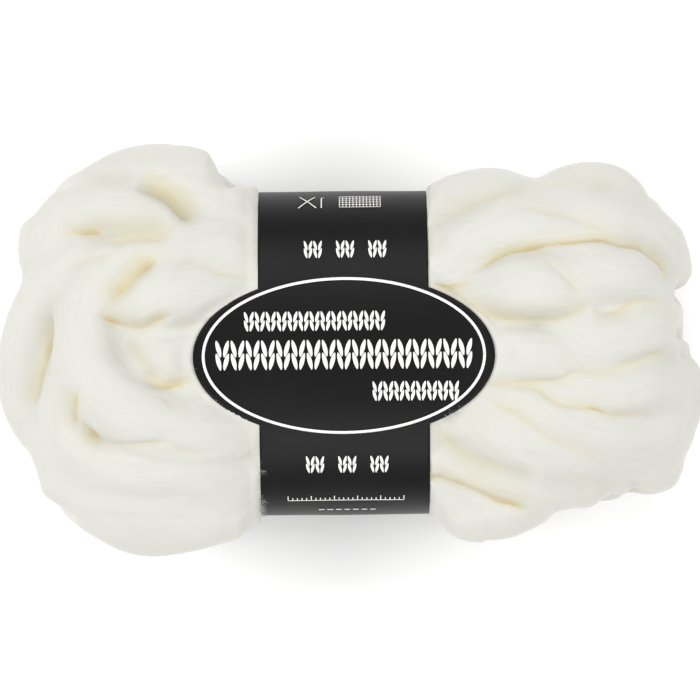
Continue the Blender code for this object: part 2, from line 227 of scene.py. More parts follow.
def unit(rows: Array) -> Array:
    """The vectors in the rows, each made one long."""
    return rows / np.linalg.norm(rows, axis=1, keepdims=True)


def run_along(line: Array) -> Array:
    """How far along a line each of its points lies."""
    return np.concatenate([[0], np.cumsum(np.linalg.norm(np.diff(line, axis=0), axis=1))])


def smooth_line(points: Sequence[tuple[float, ...]], step: float) -> Array:
    """A Catmull-Rom line through the points.

    Args:
        points: What the line goes through.
        step: About how far apart the line's own points are.

    Returns:
        The line's points, one to a row.
    """
    line = np.array(points, float)
    ends = np.vstack([2 * line[0] - line[1], line, 2 * line[-1] - line[-2]])
    drawn = []
    for a, b, c, d in zip(ends, ends[1:], ends[2:], ends[3:]):
        count = max(2, round(float(np.linalg.norm(c - b)) / step))
        t = np.linspace(0, 1, count, endpoint=False)[:, None]
        drawn.append(b + 0.5 * t * ((c - a) + t * ((2 * a - 5 * b + 4 * c - d) + t * (3 * (b - c) + d - a))))
    drawn.append(line[-1:])
    return np.vstack(drawn)


@dataclass(frozen=True)
class SoftNoise:
    """Smooth random values over space, from -1 to 1, the same on every run."""

    seed: int
    cells: int = 24  # after this many cells the values repeat

    def at(self, points: Array) -> Array:
        """The noise's value at each point.

        Args:
            points: The points, one to a row, where one is the size of a cell.

        Returns:
            The values.
        """
        table = np.random.default_rng(self.seed).uniform(-1, 1, (self.cells,) * 3)
        cell = np.floor(points).astype(int)
        t = points - cell
        t = t * t * (3 - 2 * t)
        total = np.zeros(len(points))
        for corner in itertools.product((0, 1), repeat=3):
            share = np.prod(np.where(corner, t, 1 - t), axis=1)
            x, y, z = ((cell + corner) % self.cells).T
            total += share * table[x, y, z]
        return total


# ---------------------------------------------------------------- finishes
MIX_COLOURS = {"data_type": "RGBA", "clamp_factor": True}
COLOUR_1, COLOUR_2, MIXED = 6, 7, 2  # the Mix node's colour sockets, by number, as their names repeat
VALUE_1, VALUE_2 = 2, 3  # the same for plain values


def linear(hex_colour: str) -> tuple[float, float, float, float]:
    """An sRGB hex colour as the linear colour that a shader takes."""
    parts = [int(hex_colour[i : i + 2], 16) / 255 for i in (1, 3, 5)]
    return (*[c / 12.92 if c <= 0.04045 else ((c + 0.055) / 1.055) ** 2.4 for c in parts], 1.0)


def add_node(tree: bpy.types.NodeTree, kind: str, settings: dict | None = None,
             links: dict | None = None) -> bpy.types.Node:
    """Adds one node to a tree.

    Args:
        tree: The node tree.
        kind: The node's type, as Blender names it.
        settings: Values by the name of the node's property, or by the name or number of its input.
        links: Sockets that feed the node, by the name or number of its input.

    Returns:
        The new node.
    """
    node = tree.nodes.new(kind)
    for key, value in (settings or {}).items():
        if isinstance(key, str) and hasattr(node, key):
            setattr(node, key, value)
        else:
            node.inputs[key].default_value = value
    for key, socket in (links or {}).items():
        tree.links.new(socket, node.inputs[key])
    return node


def new_material(name: str) -> tuple[bpy.types.Material, bpy.types.NodeTree, bpy.types.Node]:
    """Starts a material.

    Args:
        name: Its name, which says what it is.

    Returns:
        The material, its node tree and its Principled shader.
    """
    material = bpy.data.materials.new(name)
    material.use_nodes = True
    return material, material.node_tree, material.node_tree.nodes["Principled BSDF"]


def set_shader(shader: bpy.types.Node, values: dict) -> None:
    """Sets the shader's own sockets, by their names."""
    for name, value in values.items():
        shader.inputs[name].default_value = value


@dataclass(frozen=True)
class RovingFinish:
    """Brushed roving of acrylic and wool, carded but hardly spun.

    To the eye it is a matt, bulky off-white that light goes a little way into, with faint long streaks where
    the fibres lie side by side. Its hollows and creases are painted a darker, warm cream: painted shade, in
    place of the shade there and of the light that has passed through more of the fibres.
    """

    name: str = "acrylic and wool roving, carded"
    lit: str = "#CBCBC5"
    shaded: str = "#C6C5BE"
    # painted shade: the darker, warmer tones painted into hollows, along crevices and at their bottoms
    painted_shade_tone: str = "#BCB8A5"
    painted_crease_shade: str = "#C8C0A3"
    painted_deepest_shade: str = "#BAAC84"
    streak_width: float = 1.6  # in mm, across a few fibres together; single ones are too fine to show
    streak_length: float = 21.0
    cloud: float = 22.0  # between lighter and duller places along a strand, in mm
    cloud_share: float = 0.7  # how much those places tell beside the streaks
    depth: float = 0.30  # how far the fibres stand proud, in mm
    relief_strength: float = 0.7
    light_reach: float = 2.6  # how far light goes in, in mm
    line_depth: float = 0.25  # how deep the thin bottom of a crevice is, in mm
    # the painted crease line's strength at each distance off its line, in shares of its width
    line_profile: tuple[tuple[float, float], ...] = (
        (-8.0, 0.0), (-1.8, 0.0), (-0.8, 0.3), (0.0, 0.95), (0.7, 0.85), (2.0, 0.45), (4.5, 0.17), (8.0, 0.0),
    )

    def crevice_line(self, tree: bpy.types.NodeTree, layer: Layer) -> bpy.types.NodeSocket:
        """The strength of the warm painted shade line along one layer's crevices.

        Args:
            tree: The material's node tree.
            layer: The layer, whose attribute holds how far off each point is and how strong the line is.

        Returns:
            The socket that gives the strength, from 0 to 1.
        """
        kept = add_node(tree, "ShaderNodeAttribute", {"attribute_name": layer.value})
        parts = add_node(tree, "ShaderNodeSeparateXYZ", links={0: kept.outputs["Vector"]})
        reach = self.line_profile[-1][0]
        share = add_node(
            tree, "ShaderNodeMapRange", {"From Min": -reach, "From Max": reach},
            {"Value": parts.outputs["X"]},
        )
        ramp = add_node(tree, "ShaderNodeValToRGB", links={"Fac": share.outputs["Result"]})
        ramp.color_ramp.interpolation = "EASE"
        for _ in self.line_profile[2:]:
            ramp.color_ramp.elements.new(0.5)
        for stop, (off, strength) in zip(ramp.color_ramp.elements, self.line_profile):
            stop.position = 0.5 + 0.5 * off / reach
            stop.color = (strength, strength, strength, 1)
        line = add_node(
            tree, "ShaderNodeMath", {"operation": "MULTIPLY"},
            {0: ramp.outputs["Color"], 1: parts.outputs["Y"]},
        )
        return line.outputs[0]

    def material(self) -> bpy.types.Material:
        """Builds the material, which reads where each point would be if its strand lay straight.

        Returns:
            The new material.
        """
        material, tree, shader = new_material(self.name)
        place, shade, whole = (
            add_node(tree, "ShaderNodeAttribute", {"attribute_name": name})
            for name in ("laid_straight", "shade", "whole"))
        stretch = (1 / self.streak_length, 1 / self.streak_width, 1 / self.streak_width)
        fibres = add_node(tree, "ShaderNodeMapping", {"Scale": stretch}, {"Vector": place.outputs["Vector"]})
        streaks = add_node(
            tree, "ShaderNodeTexNoise", {"Scale": 1.0, "Detail": 3.0, "Roughness": 0.65, "Distortion": 0.4},
            {"Vector": fibres.outputs["Vector"]},
        )
        clouds = add_node(
            tree, "ShaderNodeTexNoise", {"Scale": 1 / self.cloud, "Detail": 2.0},
            {"Vector": place.outputs["Vector"]},
        )
        uneven = add_node(
            tree, "ShaderNodeMath", {"operation": "MULTIPLY_ADD", 1: self.cloud_share},
            {0: clouds.outputs["Fac"], 2: streaks.outputs["Fac"]},
        )
        duller = add_node(
            tree, "ShaderNodeMapRange", {"From Min": 0.5, "From Max": 1.2}, {"Value": uneven.outputs[0]},
        )
        merged = add_node(  # where two strands merge, its locks no longer tell
            tree, "ShaderNodeMix", {"data_type": "FLOAT", VALUE_1: 0.5},
            {0: whole.outputs["Fac"], VALUE_2: duller.outputs["Result"]},
        )
        # painted shade along the crevices: the warm lines of both layers, and their darker bottoms
        lines = add_node(
            tree, "ShaderNodeMath", {"operation": "MAXIMUM"},
            {0: self.crevice_line(tree, Layer.FIRST), 1: self.crevice_line(tree, Layer.SECOND)},
        )
        bottom = add_node(tree, "ShaderNodeMath", {"operation": "POWER", 1: 4.0}, {0: lines.outputs[0]})
        colour = add_node(
            tree, "ShaderNodeMix", {**MIX_COLOURS, COLOUR_1: linear(self.lit), COLOUR_2: linear(self.shaded)},
            {0: merged.outputs[0]},
        )
        # paints shade over the streaked body: broad shade in hollows, warm crease lines, then their darker
        # bottoms
        for tone, share in ((self.painted_shade_tone, shade.outputs["Fac"]), (self.painted_crease_shade, lines.outputs[0]),
                            (self.painted_deepest_shade, bottom.outputs[0])):
            colour = add_node(
                tree, "ShaderNodeMix", {**MIX_COLOURS, COLOUR_2: linear(tone)},
                {0: share, COLOUR_1: colour.outputs[MIXED]},
            )
        strength = add_node(
            tree, "ShaderNodeMath", {"operation": "MULTIPLY", 1: self.relief_strength},
            {0: whole.outputs["Fac"]},
        )
        relief = add_node(
            tree, "ShaderNodeBump", {"Distance": self.depth * MM},
            {"Height": streaks.outputs["Fac"], "Strength": strength.outputs[0]},
        )
        sunk = add_node(
            tree, "ShaderNodeBump", {"Distance": self.line_depth * MM, "invert": True},
            {"Height": lines.outputs[0], "Normal": relief.outputs["Normal"]},
        )
        tree.links.new(colour.outputs[MIXED], shader.inputs["Base Color"])
        tree.links.new(sunk.outputs["Normal"], shader.inputs["Normal"])
        set_shader(shader, {
            "Roughness": 0.88,
            "IOR": 1.54,  # of wool
            "Specular IOR Level": 0.28,
            "Subsurface Weight": 0.35,
            "Subsurface Radius": (1.0, 0.86, 0.62),
            "Subsurface Scale": self.light_reach * MM,
            "Sheen Weight": 0.22,
            "Sheen Roughness": 0.45,
        })
        return material


@dataclass(frozen=True)
class MottledFinish:
    """A surface whose colour wanders softly between two tones, by a pattern on Object coordinates."""

    name: str
    tone: str
    other_tone: str
    spacing: float  # between like places of the pattern, in mm
    sockets: tuple[tuple[str, float], ...]  # the shader's own values
    detail: float = 3.0
    spread: tuple[float, float] = (0.0, 1.0)  # the pattern's values between which one tone turns to the other

    def material(self) -> bpy.types.Material:
        """Builds the material.

        Returns:
            The new material.
        """
        material, tree, shader = new_material(self.name)
        place = add_node(tree, "ShaderNodeTexCoord")
        mottle = add_node(
            tree, "ShaderNodeTexNoise", {"Scale": 1 / (self.spacing * MM), "Detail": self.detail},
            {"Vector": place.outputs["Object"]},
        )
        share = add_node(
            tree, "ShaderNodeMapRange", {"From Min": self.spread[0], "From Max": self.spread[1]},
            {"Value": mottle.outputs["Fac"]},
        )
        colour = add_node(
            tree, "ShaderNodeMix",
            {**MIX_COLOURS, COLOUR_1: linear(self.tone), COLOUR_2: linear(self.other_tone)},
            {0: share.outputs["Result"]},
        )
        tree.links.new(colour.outputs[MIXED], shader.inputs["Base Color"])
        set_shader(shader, dict(self.sockets))
        self.face(tree, shader, place.outputs["Object"], mottle.outputs["Fac"])
        return material

    def face(self, tree: bpy.types.NodeTree, shader: bpy.types.Node, place: bpy.types.NodeSocket,
             mottle: bpy.types.NodeSocket) -> None:
        """Adds the relief and the uneven gloss, of which a plain surface has none."""


@dataclass(frozen=True)
class CardFinish(MottledFinish):
    """Thin card, coated and printed solid black.

    To the eye it is a flat satin black with a broad soft shine where it turns away, and a fine tooth from the
    paper's fibres under the coating.
    """

    name: str = "coated card, printed black"
    tone: str = "#0D0D0E"
    other_tone: str = "#121213"  # where it is rubbed
    spacing: float = 28.0
    sockets: tuple[tuple[str, float], ...] = (("IOR", 1.5), ("Specular IOR Level", 0.14))
    gloss: tuple[float, float] = (0.34, 0.46)  # its roughness from the smoothest place to the most rubbed
    tooth: float = 0.9  # between the coating's small unevennesses, in mm
    tooth_depth: float = 0.02

    def face(self, tree: bpy.types.NodeTree, shader: bpy.types.Node, place: bpy.types.NodeSocket,
             mottle: bpy.types.NodeSocket) -> None:
        """Adds the coating's tooth, and makes it duller where it is rubbed.

        Args:
            tree: The material's node tree.
            shader: Its shader.
            place: The socket that gives Object coordinates.
            mottle: The socket that tells how rubbed the card is.
        """
        tooth = add_node(
            tree, "ShaderNodeTexNoise", {"Scale": 1 / (self.tooth * MM), "Detail": 4.0, "Roughness": 0.6},
            {"Vector": place},
        )
        relief = add_node(
            tree, "ShaderNodeBump", {"Strength": 0.35, "Distance": self.tooth_depth * MM},
            {"Height": tooth.outputs["Fac"]},
        )
        gloss = add_node(
            tree, "ShaderNodeMapRange", {"To Min": self.gloss[0], "To Max": self.gloss[1]}, {"Value": mottle},
        )
        tree.links.new(relief.outputs["Normal"], shader.inputs["Normal"])
        tree.links.new(gloss.outputs["Result"], shader.inputs["Roughness"])


@dataclass(frozen=True)
class CutEdgeFinish(MottledFinish):
    """The card's cut edge, where its white core shows: a hair-thin pale cream line with a fibrous face."""

    name: str = "card core, die-cut"
    tone: str = "#F2EDDF"
    other_tone: str = "#D2CDC0"
    spacing: float = 0.5  # of torn fibres
    sockets: tuple[tuple[str, float], ...] = (("Roughness", 0.9), ("Specular IOR Level", 0.3))


@dataclass(frozen=True)
class PrintFinish(MottledFinish):
    """White ink printed on the card: a slightly uneven, opaque white that keeps the card's satin face."""

    name: str = "white ink, offset printed"
    tone: str = "#F4F3F0"
    other_tone: str = "#DAD9D6"  # where the ink is thin
    spacing: float = 0.7
    sockets: tuple[tuple[str, float], ...] = (("Roughness", 0.5), ("IOR", 1.5))
    spread: tuple[float, float] = (0.45, 0.75)


@dataclass(frozen=True)
class SweepFinish(MottledFinish):
    """The studio's paper sweep: matt white, with the faintest mottling."""

    name: str = "studio paper, matt white"
    tone: str = "#FCFCFC"
    other_tone: str = "#FAFAFA"
    spacing: float = 1000 / 9
    sockets: tuple[tuple[str, float], ...] = (("Roughness", 1.0), ("Specular IOR Level", 0.0))
    detail: float = 2.0


# ---------------------------------------------------------------- the wound body
class Section(NamedTuple):
    """How far the body's flanks lie above and below the middle in plan at x, and half its depth there."""

    x: float
    top: float
    bottom: float
    half_depth: float


SECTIONS = tuple(Section(*row) for row in (
    (-162, 20, -24, 8), (-156, 38, -42, 24), (-150, 54, -50, 36), (-134, 71, -69, 52), (-112, 87, -90, 62),
    (-86, 93, -94, 63), (-70, 91, -93, 60), (-62, 81, -91, 58), (-54, 75, -88, 57), (-40, 74, -79, 54),
    (0, 72, -76, 51), (38, 76, -78, 54), (54, 81, -88, 57), (68, 82, -88, 59), (84, 79, -80, 63),
    (98, 82, -73, 63), (115, 86, -71, 61), (126, 78, -63, 57), (134, 70, -63, 53), (148, 57, -62, 38),
    (154, 44, -54, 24), (160, 20, -26, 8),
))


@dataclass(frozen=True)
class SkeinBody:
    """The wound body that every strand lies on."""

    sections: tuple[Section, ...] = SECTIONS
    mid_height: float = 62.0
    crown_power: float = 2.4  # the roundness of its cross-section; 2 is an ellipse
    girth_at_band: float = 0.74  # how much thinner a strand is where the band squeezes it
    squeeze_from: float = 34.0
    squeeze_to: float = 74.0
    spine: float = 92.0  # how far from the middle its two ends begin to round
    half_length: float = 162.0
    least_depth: float = 30.0  # the least half depth and half width that tell which way its outside faces
    least_width: float = 40.0

    def flank(self, x: Array, y: Array) -> Array:
        """How far the body's flank lies from the middle.

        Args:
            x: The places along the skein.
            y: Numbers whose signs tell on which side of the middle.

        Returns:
            The distances.
        """
        at = [s.x for s in self.sections]
        top = np.interp(x, at, [s.top for s in self.sections])
        bottom = np.interp(x, at, [-s.bottom for s in self.sections])
        return np.where(np.asarray(y) > 0, top, bottom)

    def half_depth(self, x: Array) -> Array:
        """Half the body's depth at x."""
        return np.interp(x, [s.x for s in self.sections], [s.half_depth for s in self.sections])

    def crown(self, x: float, y: float, radius: float, side: Side = Side.FRONT) -> float:
        """How high a strand lies on the body.

        Args:
            x: Its place along the skein.
            y: Its place across.
            radius: Its radius.
            side: Whether it lies on the body's front or back.

        Returns:
            The height of the strand's middle.
        """
        across = min(abs(y) / float(self.flank(x, y)), 1.0)
        rise = (1 - across**self.crown_power) ** (1 / self.crown_power)
        return self.mid_height + side.value * max(float(self.half_depth(x)) - radius, 0) * rise

    def reach_at(self, end: End, y: float) -> float:
        """How far the body reaches at one of its ends.

        Args:
            end: The end.
            y: The place across the skein.

        Returns:
            The distance from the middle, without its sign.
        """
        reach = self.sections[-1].x
        while float(self.flank(end.value * reach, y)) < abs(y):
            reach -= 1
        return reach

    def squeeze(self, x: Array) -> Array:
        """The share of its full girth that a strand keeps at x."""
        free = smooth_step(np.abs(x), self.squeeze_from, self.squeeze_to)
        return self.girth_at_band + (1 - self.girth_at_band) * free

    def outward(self, points: Array) -> Array:
        """The way out of the body.

        Args:
            points: Points in it or about it, one to a row.

        Returns:
            A unit vector for each point.
        """
        x, y, z = points.T
        past = np.sign(x) * np.maximum(np.abs(x) - self.spine, 0) / (self.half_length - self.spine) ** 2
        deep = np.maximum(self.half_depth(x), self.least_depth)
        wide = np.maximum(self.flank(x, y), self.least_width)
        away = np.stack([past, y / wide**2, (z - self.mid_height) / deep**2], axis=1)
        return away / np.maximum(np.linalg.norm(away, axis=1, keepdims=True), 1e-9)


# ---------------------------------------------------------------- the paper band
@dataclass(frozen=True)
class PaperBand:
    """The die-cut paper: a ring round the waist that widens into an oval over the front."""

    body: SkeinBody
    middle: tuple[float, float] = (-3.1, -1.6)
    half_length: float = 38.3  # half its size along the skein
    half_width: float = 73.9  # half its size across the skein
    half_depth: float = 53.0
    turn: float = math.radians(0.6)  # it sits slightly askew
    thickness: float = 0.5
    cut_edge: float = 0.34  # how wide the die left its bare rim
    gap: float = 0.6  # from the ring that the yarn is pressed to, to the paper's inner face
    oval_half_length: float = 67.6
    oval_half_width: float = 37.2
    oval_offset: float = 1.3  # how far round from the front's middle the oval's middle lies
    wing_rise: float = 0.0045  # how fast the oval's free ends bend up, in mm for each square mm
    press_margin: float = 0.1  # how far inside the ring the yarn is pressed
    pressed_past_edge: float = 0.5
    swell_within: float = 16.0
    swell_rise: float = 3.0
    swell_rise_at_flank: float = 7.0  # how much more it is at the skein's flanks
    flank_power: int = 4  # how near the flanks that stays
    swell_free: float = 30.0  # so that the yarn is free of the band's pull at the end of that stretch
    swell_round: float = 3.4  # how soft the brow is where it comes free
    brow_within: float = 0.25  # the share of the swelling stretch over which it grows that soft
    lift_within: float = 9.0  # how far past the paper's edge the yarn still rises to meet it
    lift_between: tuple[float, float] = (0.7, 0.85)  # shares of the ring's size, within which none rises
    dent: float = 0.32  # how far its face is out of true
    dent_sizes: tuple[tuple[int, float, float, float], ...] = (  # seed, size round, size along, share
        (11, 34, 40, 0.8), (12, 12, 26, 0.3),
    )
    ring_points: int = 1441
    columns_strip: int = 70
    columns_oval: int = 90
    rows: int = 56

    def profile(self) -> tuple[Array, Array, Array]:
        """The ring that the band follows.

        Returns:
            For each of its points the distance along it, the distance across the skein and the height.
        """
        power = 2 / self.body.crown_power
        angle = np.linspace(0, 2 * math.pi, self.ring_points)
        sine, cosine = np.sin(angle), np.cos(angle)
        across = -np.sign(sine) * np.abs(sine) ** power * self.half_width
        height = np.sign(cosine) * np.abs(cosine) ** power * self.half_depth
        run = np.concatenate([[0], np.cumsum(np.hypot(np.diff(across), np.diff(height)))])
        return run, across, height

    def length(self) -> float:
        """The paper's length round the skein."""
        return float(self.profile()[0][-1])

    def half_length_at(self, run: Array) -> Array:
        """Half the paper's size along the skein, at a distance round the ring from the front's middle."""
        inside = np.maximum(0, 1 - ((run - self.oval_offset) / self.oval_half_width) ** 2)
        return np.maximum(self.half_length, self.oval_half_length * np.sqrt(inside))

    def to_band(self, x: Array, y: Array) -> tuple[Array, Array]:
        """A point of the skein's plan as the band sees it: along and across, from the band's middle."""
        dx, dy = x - self.middle[0], y - self.middle[1]
        return (dx * math.cos(self.turn) + dy * math.sin(self.turn),
                dy * math.cos(self.turn) - dx * math.sin(self.turn))

    def from_band(self, along: Array, across: Array) -> tuple[Array, Array]:
        """The other way round: a point of the band's own plan in the skein's plan."""
        return (self.middle[0] + along * math.cos(self.turn) - across * math.sin(self.turn),
                self.middle[1] + along * math.sin(self.turn) + across * math.cos(self.turn))

    def run_at(self, across: Array) -> Array:
        """How far round the ring a point of the front lies, from its distance across."""
        run, half, _ = (k[: len(k) // 4 + 1] for k in self.profile())
        return -np.sign(across) * np.interp(np.abs(across), -half, run)

    def past_edge(self, points: Array) -> Array:
        """How far past the paper's edge points of the yarn lie.

        Args:
            points: The points, one to a row.

        Returns:
            The distances along the skein, below zero under the paper.
        """
        along, across = self.to_band(points[:, 0], points[:, 1])
        run = np.where(points[:, 2] > self.body.mid_height, self.run_at(across), self.length() / 2)
        return np.abs(along) - self.half_length_at(run)

    def dents(self, run: Array, along: Array) -> Array:
        """How far the paper's face is out of true at each point."""
        return self.dent * sum(
            share * SoftNoise(seed).at(np.stack([run / wide, along / long, 0 * run], axis=1))
            for seed, wide, long, share in self.dent_sizes)

    def place(self, run: Array, along: Array, out: float = 0.0) -> Array:
        """Points on the paper's inner face.

        Args:
            run: Their distances round the ring from the front's middle.
            along: Their distances along the skein from the band's middle.
            out: How far they are moved outwards.

        Returns:
            The points in millimetres, one to a row.
        """
        lengths, across, height = self.profile()
        total = lengths[-1]
        here = np.mod(run, total)
        y, z = (np.interp(here, lengths, k) for k in (across, height))
        ahead, behind = np.mod(here + 1, total), np.mod(here - 1, total)
        dy, dz = (np.interp(ahead, lengths, k) - np.interp(behind, lengths, k) for k in (across, height))
        ny, nz = dz / np.hypot(dy, dz), -dy / np.hypot(dy, dz)
        inward = np.where(ny * y + nz * z < 0, -1, 1)
        wing = np.maximum(0, np.abs(along) - self.half_length)
        lift = self.gap + out + self.wing_rise * wing**2 + self.dents(run, along)
        x, y = self.from_band(along, y + inward * ny * lift)
        return np.stack([x, y, self.body.mid_height + z + inward * nz * lift], axis=1)

    def press(self, points: Array) -> Array:
        """Brings yarn to the paper's inner face under it, and lets it swell out again just past its edge.

        Args:
            points: The yarn's points, one to a row.

        Returns:
            The moved points.
        """
        power = self.body.crown_power
        along, across = self.to_band(points[:, 0], points[:, 1])
        height = points[:, 2] - self.body.mid_height
        ring = (np.abs(across / self.half_width) ** power
                + np.abs(height / self.half_depth) ** power) ** (1 / power)
        run = np.where(height > 0, -across, self.length() / 2)
        past = np.abs(along) - self.half_length_at(run) - self.pressed_past_edge
        t = np.clip(past / self.swell_within, 0, 1)
        wing = np.maximum(0, np.minimum(np.abs(along), self.oval_half_length) - self.half_length)
        flank = np.minimum(np.abs(across / self.half_width), 1) ** self.flank_power
        swell = (self.swell_rise + self.swell_rise_at_flank * flank) * np.sqrt(t * (2 - t))
        swell = swell + self.swell_free * t**3
        size = (self.half_width + self.half_depth) / 2
        room = 1 + (self.wing_rise * wing**2 - self.press_margin + swell) / size
        lifted = (1 - smooth_step(past, 0, self.lift_within)) * smooth_step(ring, *self.lift_between)
        risen = ring + lifted * np.maximum(room - swell / size - ring, 0)
        brow = self.swell_round / size * np.minimum(1, t / self.brow_within)
        eased = 0.5 * (risen + room - np.sqrt((risen - room) ** 2 + brow**2))
        share = np.where(past < self.swell_within, eased / np.maximum(ring, 1e-6), 1)
        x, y = self.from_band(along, across * share)
        return np.stack([x, y, self.body.mid_height + height * share], axis=1)

    def build(self, card: CardFinish, edge: CutEdgeFinish) -> bpy.types.Object:
        """Lays a flat grid round the ring, and gives it the card's thickness and a pale cut edge.

        Args:
            card: The finish of its faces.
            edge: The finish of its cut edge.

        Returns:
            The band's object.
        """
        corner = self.oval_half_width * math.sqrt(1 - (self.half_length / self.oval_half_length) ** 2)
        half = self.length() / 2
        strip, oval = np.linspace(0, 1, self.columns_strip + 1), np.linspace(-1, 1, self.columns_oval + 1)
        runs = np.concatenate([
            -half + strip[:-1] * (half + self.oval_offset - corner),
            self.oval_offset + corner * np.sin(oval * math.pi / 2),
            self.oval_offset + corner + strip[1:] * (half - self.oval_offset - corner),
        ])
        columns = len(runs) - 1

        def place(share_round: Array, share_along: Array) -> Array:
            """The grid's points on the paper's inner face."""
            run = np.interp(share_round, np.linspace(0, 1, columns + 1), runs)
            return self.place(run, (2 * share_along - 1) * self.half_length_at(run))

        band = laid_grid("paper_band", columns, self.rows, place)
        close_seams(band)
        band.data.materials.append(card.material())
        band.data.materials.append(edge.material())
        face = band.data.polygons[0]
        outwards = 1 if face.normal.dot(face.center) > 0 else -1
        finish_with(band, "SOLIDIFY", thickness=self.thickness * MM, offset=outwards, use_even_offset=True,
                    material_offset_rim=1)
        finish_with(band, "BEVEL", width=self.cut_edge * MM, segments=1, limit_method="ANGLE",
                    angle_limit=math.radians(60), material=1)
        return band


# ---------------------------------------------------------------- what is printed on the band
class Stroke(NamedTuple):
    """A printed stroke on the band's flat front: where it goes, and its width at each of those points."""

    points: Sequence[tuple[float, float]]
    widths: Sequence[float]


class Patch(NamedTuple):
    """A printed patch of knitting: its middle, how many stitches each row has, and a stitch's size."""

    x: float
    y: float
    rows: tuple[int, ...]
    width: float
    height: float


class Comb(NamedTuple):
    """Printed lines side by side: the first one's ends, the step to the next, their number and their width."""

    start: tuple[float, float]
    end: tuple[float, float]
    step: tuple[float, float]
    count: int
    width: float


@dataclass
class BandPrint:
    """The band's white print: an oval line, patches of knit stitches, small signs and a measuring scale."""

    band: PaperBand
    line_half_length: float = 62.9
    line_half_width: float = 34.5
    line_offset: float = 1.0  # how far below the middle of the band its own middle is
    line_width: float = 1.25
    patches: tuple[Patch, ...] = (
        Patch(-13, 14.5, (13, 13), 4.9, 4.9),
        Patch(0, -0.5, (17, 17), 6.8, 7.4),
        Patch(32, -17, (8, 8), 4.9, 4.9),
    )
    small_patch: Patch = Patch(1, 0, (2, 2), 4.3, 4.8)
    small_rows: tuple[float, ...] = (47.5, -51.0)  # how far across the rows of three small patches lie
    small_spacing: float = 14.5
    nesting: float = 0.78  # between two rows, as a share of a stitch's height
    leaf_width: float = 0.3  # how wide and how far out a stitch's leaves are, as shares of its width
    leaf_foot: float = 0.12
    leaf_lean: float = 0.28
    sign_width: float = 0.5
    signs: tuple[tuple[tuple[float, float], ...], ...] = (  # two crossed needles and a hook
        ((-20.0, 71.6), (-12.5, 81.8)),
        ((-12.0, 71.6), (-19.5, 81.8)),
        ((-9.6, 71.6), (-9.6, 80.6), (-9.1, 81.7), (-8.4, 81.3)),
    )
    test_square: tuple[Comb, ...] = (
        Comb((-1.4, 72.0), (-1.4, 82.0), (1.55, 0), 13, 0.3),
        Comb((-1.4, 72.0), (17.2, 72.0), (0, 2), 6, 0.3),
    )
    tick_heights: tuple[float, float] = (3.2, 1.9)  # of the scale's fifth ticks, and of the rest
    ticks: Comb = Comb((-26, -72.4), (-26, -72.4), (2.1, 0), 26, 0.4)
    under_ticks: tuple[Comb, ...] = (  # the scale's own line, and a dashed one
        Comb((-26, -72.4), (26.5, -72.4), (0, 0), 1, 0.4),
        Comb((-12.2, -81.3), (-9.6, -81.3), (3.9, 0), 7, 0.7),
    )
    proud: float = 0.02  # how far the ink's inner face stands off the paper
    longest_face: float = 2.5
    ink_thickness: float = 0.05
    strokes: list[Stroke] = field(default_factory=list)

    def line(self, points: Sequence[tuple[float, float]], width: float) -> None:
        """Adds a stroke of even width."""
        self.strokes.append(Stroke(points, [width] * len(points)))

    def comb(self, comb: Comb) -> None:
        """Adds the lines of a comb.

        Args:
            comb: The comb.
        """
        for i in range(comb.count):
            self.line([(x + comb.step[0] * i, y + comb.step[1] * i) for x, y in comb[:2]], comb.width)

    def oval_line(self) -> None:
        """Adds the white line inside the oval's edge."""
        turns = np.linspace(0, 2 * math.pi, 145)
        self.line(
            [(self.line_half_length * math.cos(a), self.line_half_width * math.sin(a) - self.line_offset)
             for a in turns],
            self.line_width,
        )

    def stitch(self, x: float, y: float, width: float, height: float) -> None:
        """Adds one knit stitch, the two leaves of a V.

        Args:
            x: Its middle along the band.
            y: Its middle across.
            width: Its width over both leaves.
            height: Its height.
        """
        for side in (-1, 1):
            t = np.linspace(0, 1, 9)
            lean = side * width * (self.leaf_foot + self.leaf_lean * t**1.15)
            leaf = [(x + float(dx), y + (float(k) - 0.5) * height) for dx, k in zip(lean, t)]
            # a leaf tapers to both its ends
            full = [max(0.06, math.sin(math.pi * (0.04 + 0.92 * k))) ** 0.7 for k in t]
            widths = [width * self.leaf_width * k for k in full]
            self.strokes.append(Stroke(leaf, widths))

    def knitting(self, patch: Patch) -> None:
        """Adds a patch of nested rows of stitches.

        Args:
            patch: The patch.
        """
        for row, count in enumerate(patch.rows):
            y = patch.y + ((len(patch.rows) - 1) / 2 - row) * self.nesting * patch.height
            for i in range(count):
                self.stitch(patch.x + (i - (count - 1) / 2) * patch.width, y, patch.width, patch.height)

    def small_print(self) -> None:
        """Adds the signs near the band's upper edge, and the scale and the dashes near its lower one."""
        for sign in self.signs:
            self.line(sign, self.sign_width)
        for comb in self.test_square:
            self.comb(comb)
        (x, y), step = self.ticks.start, self.ticks.step[0]
        for i in range(self.ticks.count):
            tall = self.tick_heights[0] if i % 5 == 0 else self.tick_heights[1]
            self.line([(x + step * i, y), (x + step * i, y + tall)], self.ticks.width)
        for comb in self.under_ticks:
            self.comb(comb)

    def ribbon(self, stroke: Stroke, number: int) -> bpy.types.Object:
        """Lays one stroke on the paper as a thin strip.

        Args:
            stroke: Where it goes and how wide it is.
            number: Its number among the strokes.

        Returns:
            The strip's object.
        """
        way, widths = np.array(stroke.points, float), np.array(stroke.widths, float)
        run = run_along(way)
        ahead = np.gradient(way, run, axis=0)
        side = unit(np.stack([-ahead[:, 1], ahead[:, 0]], axis=1))

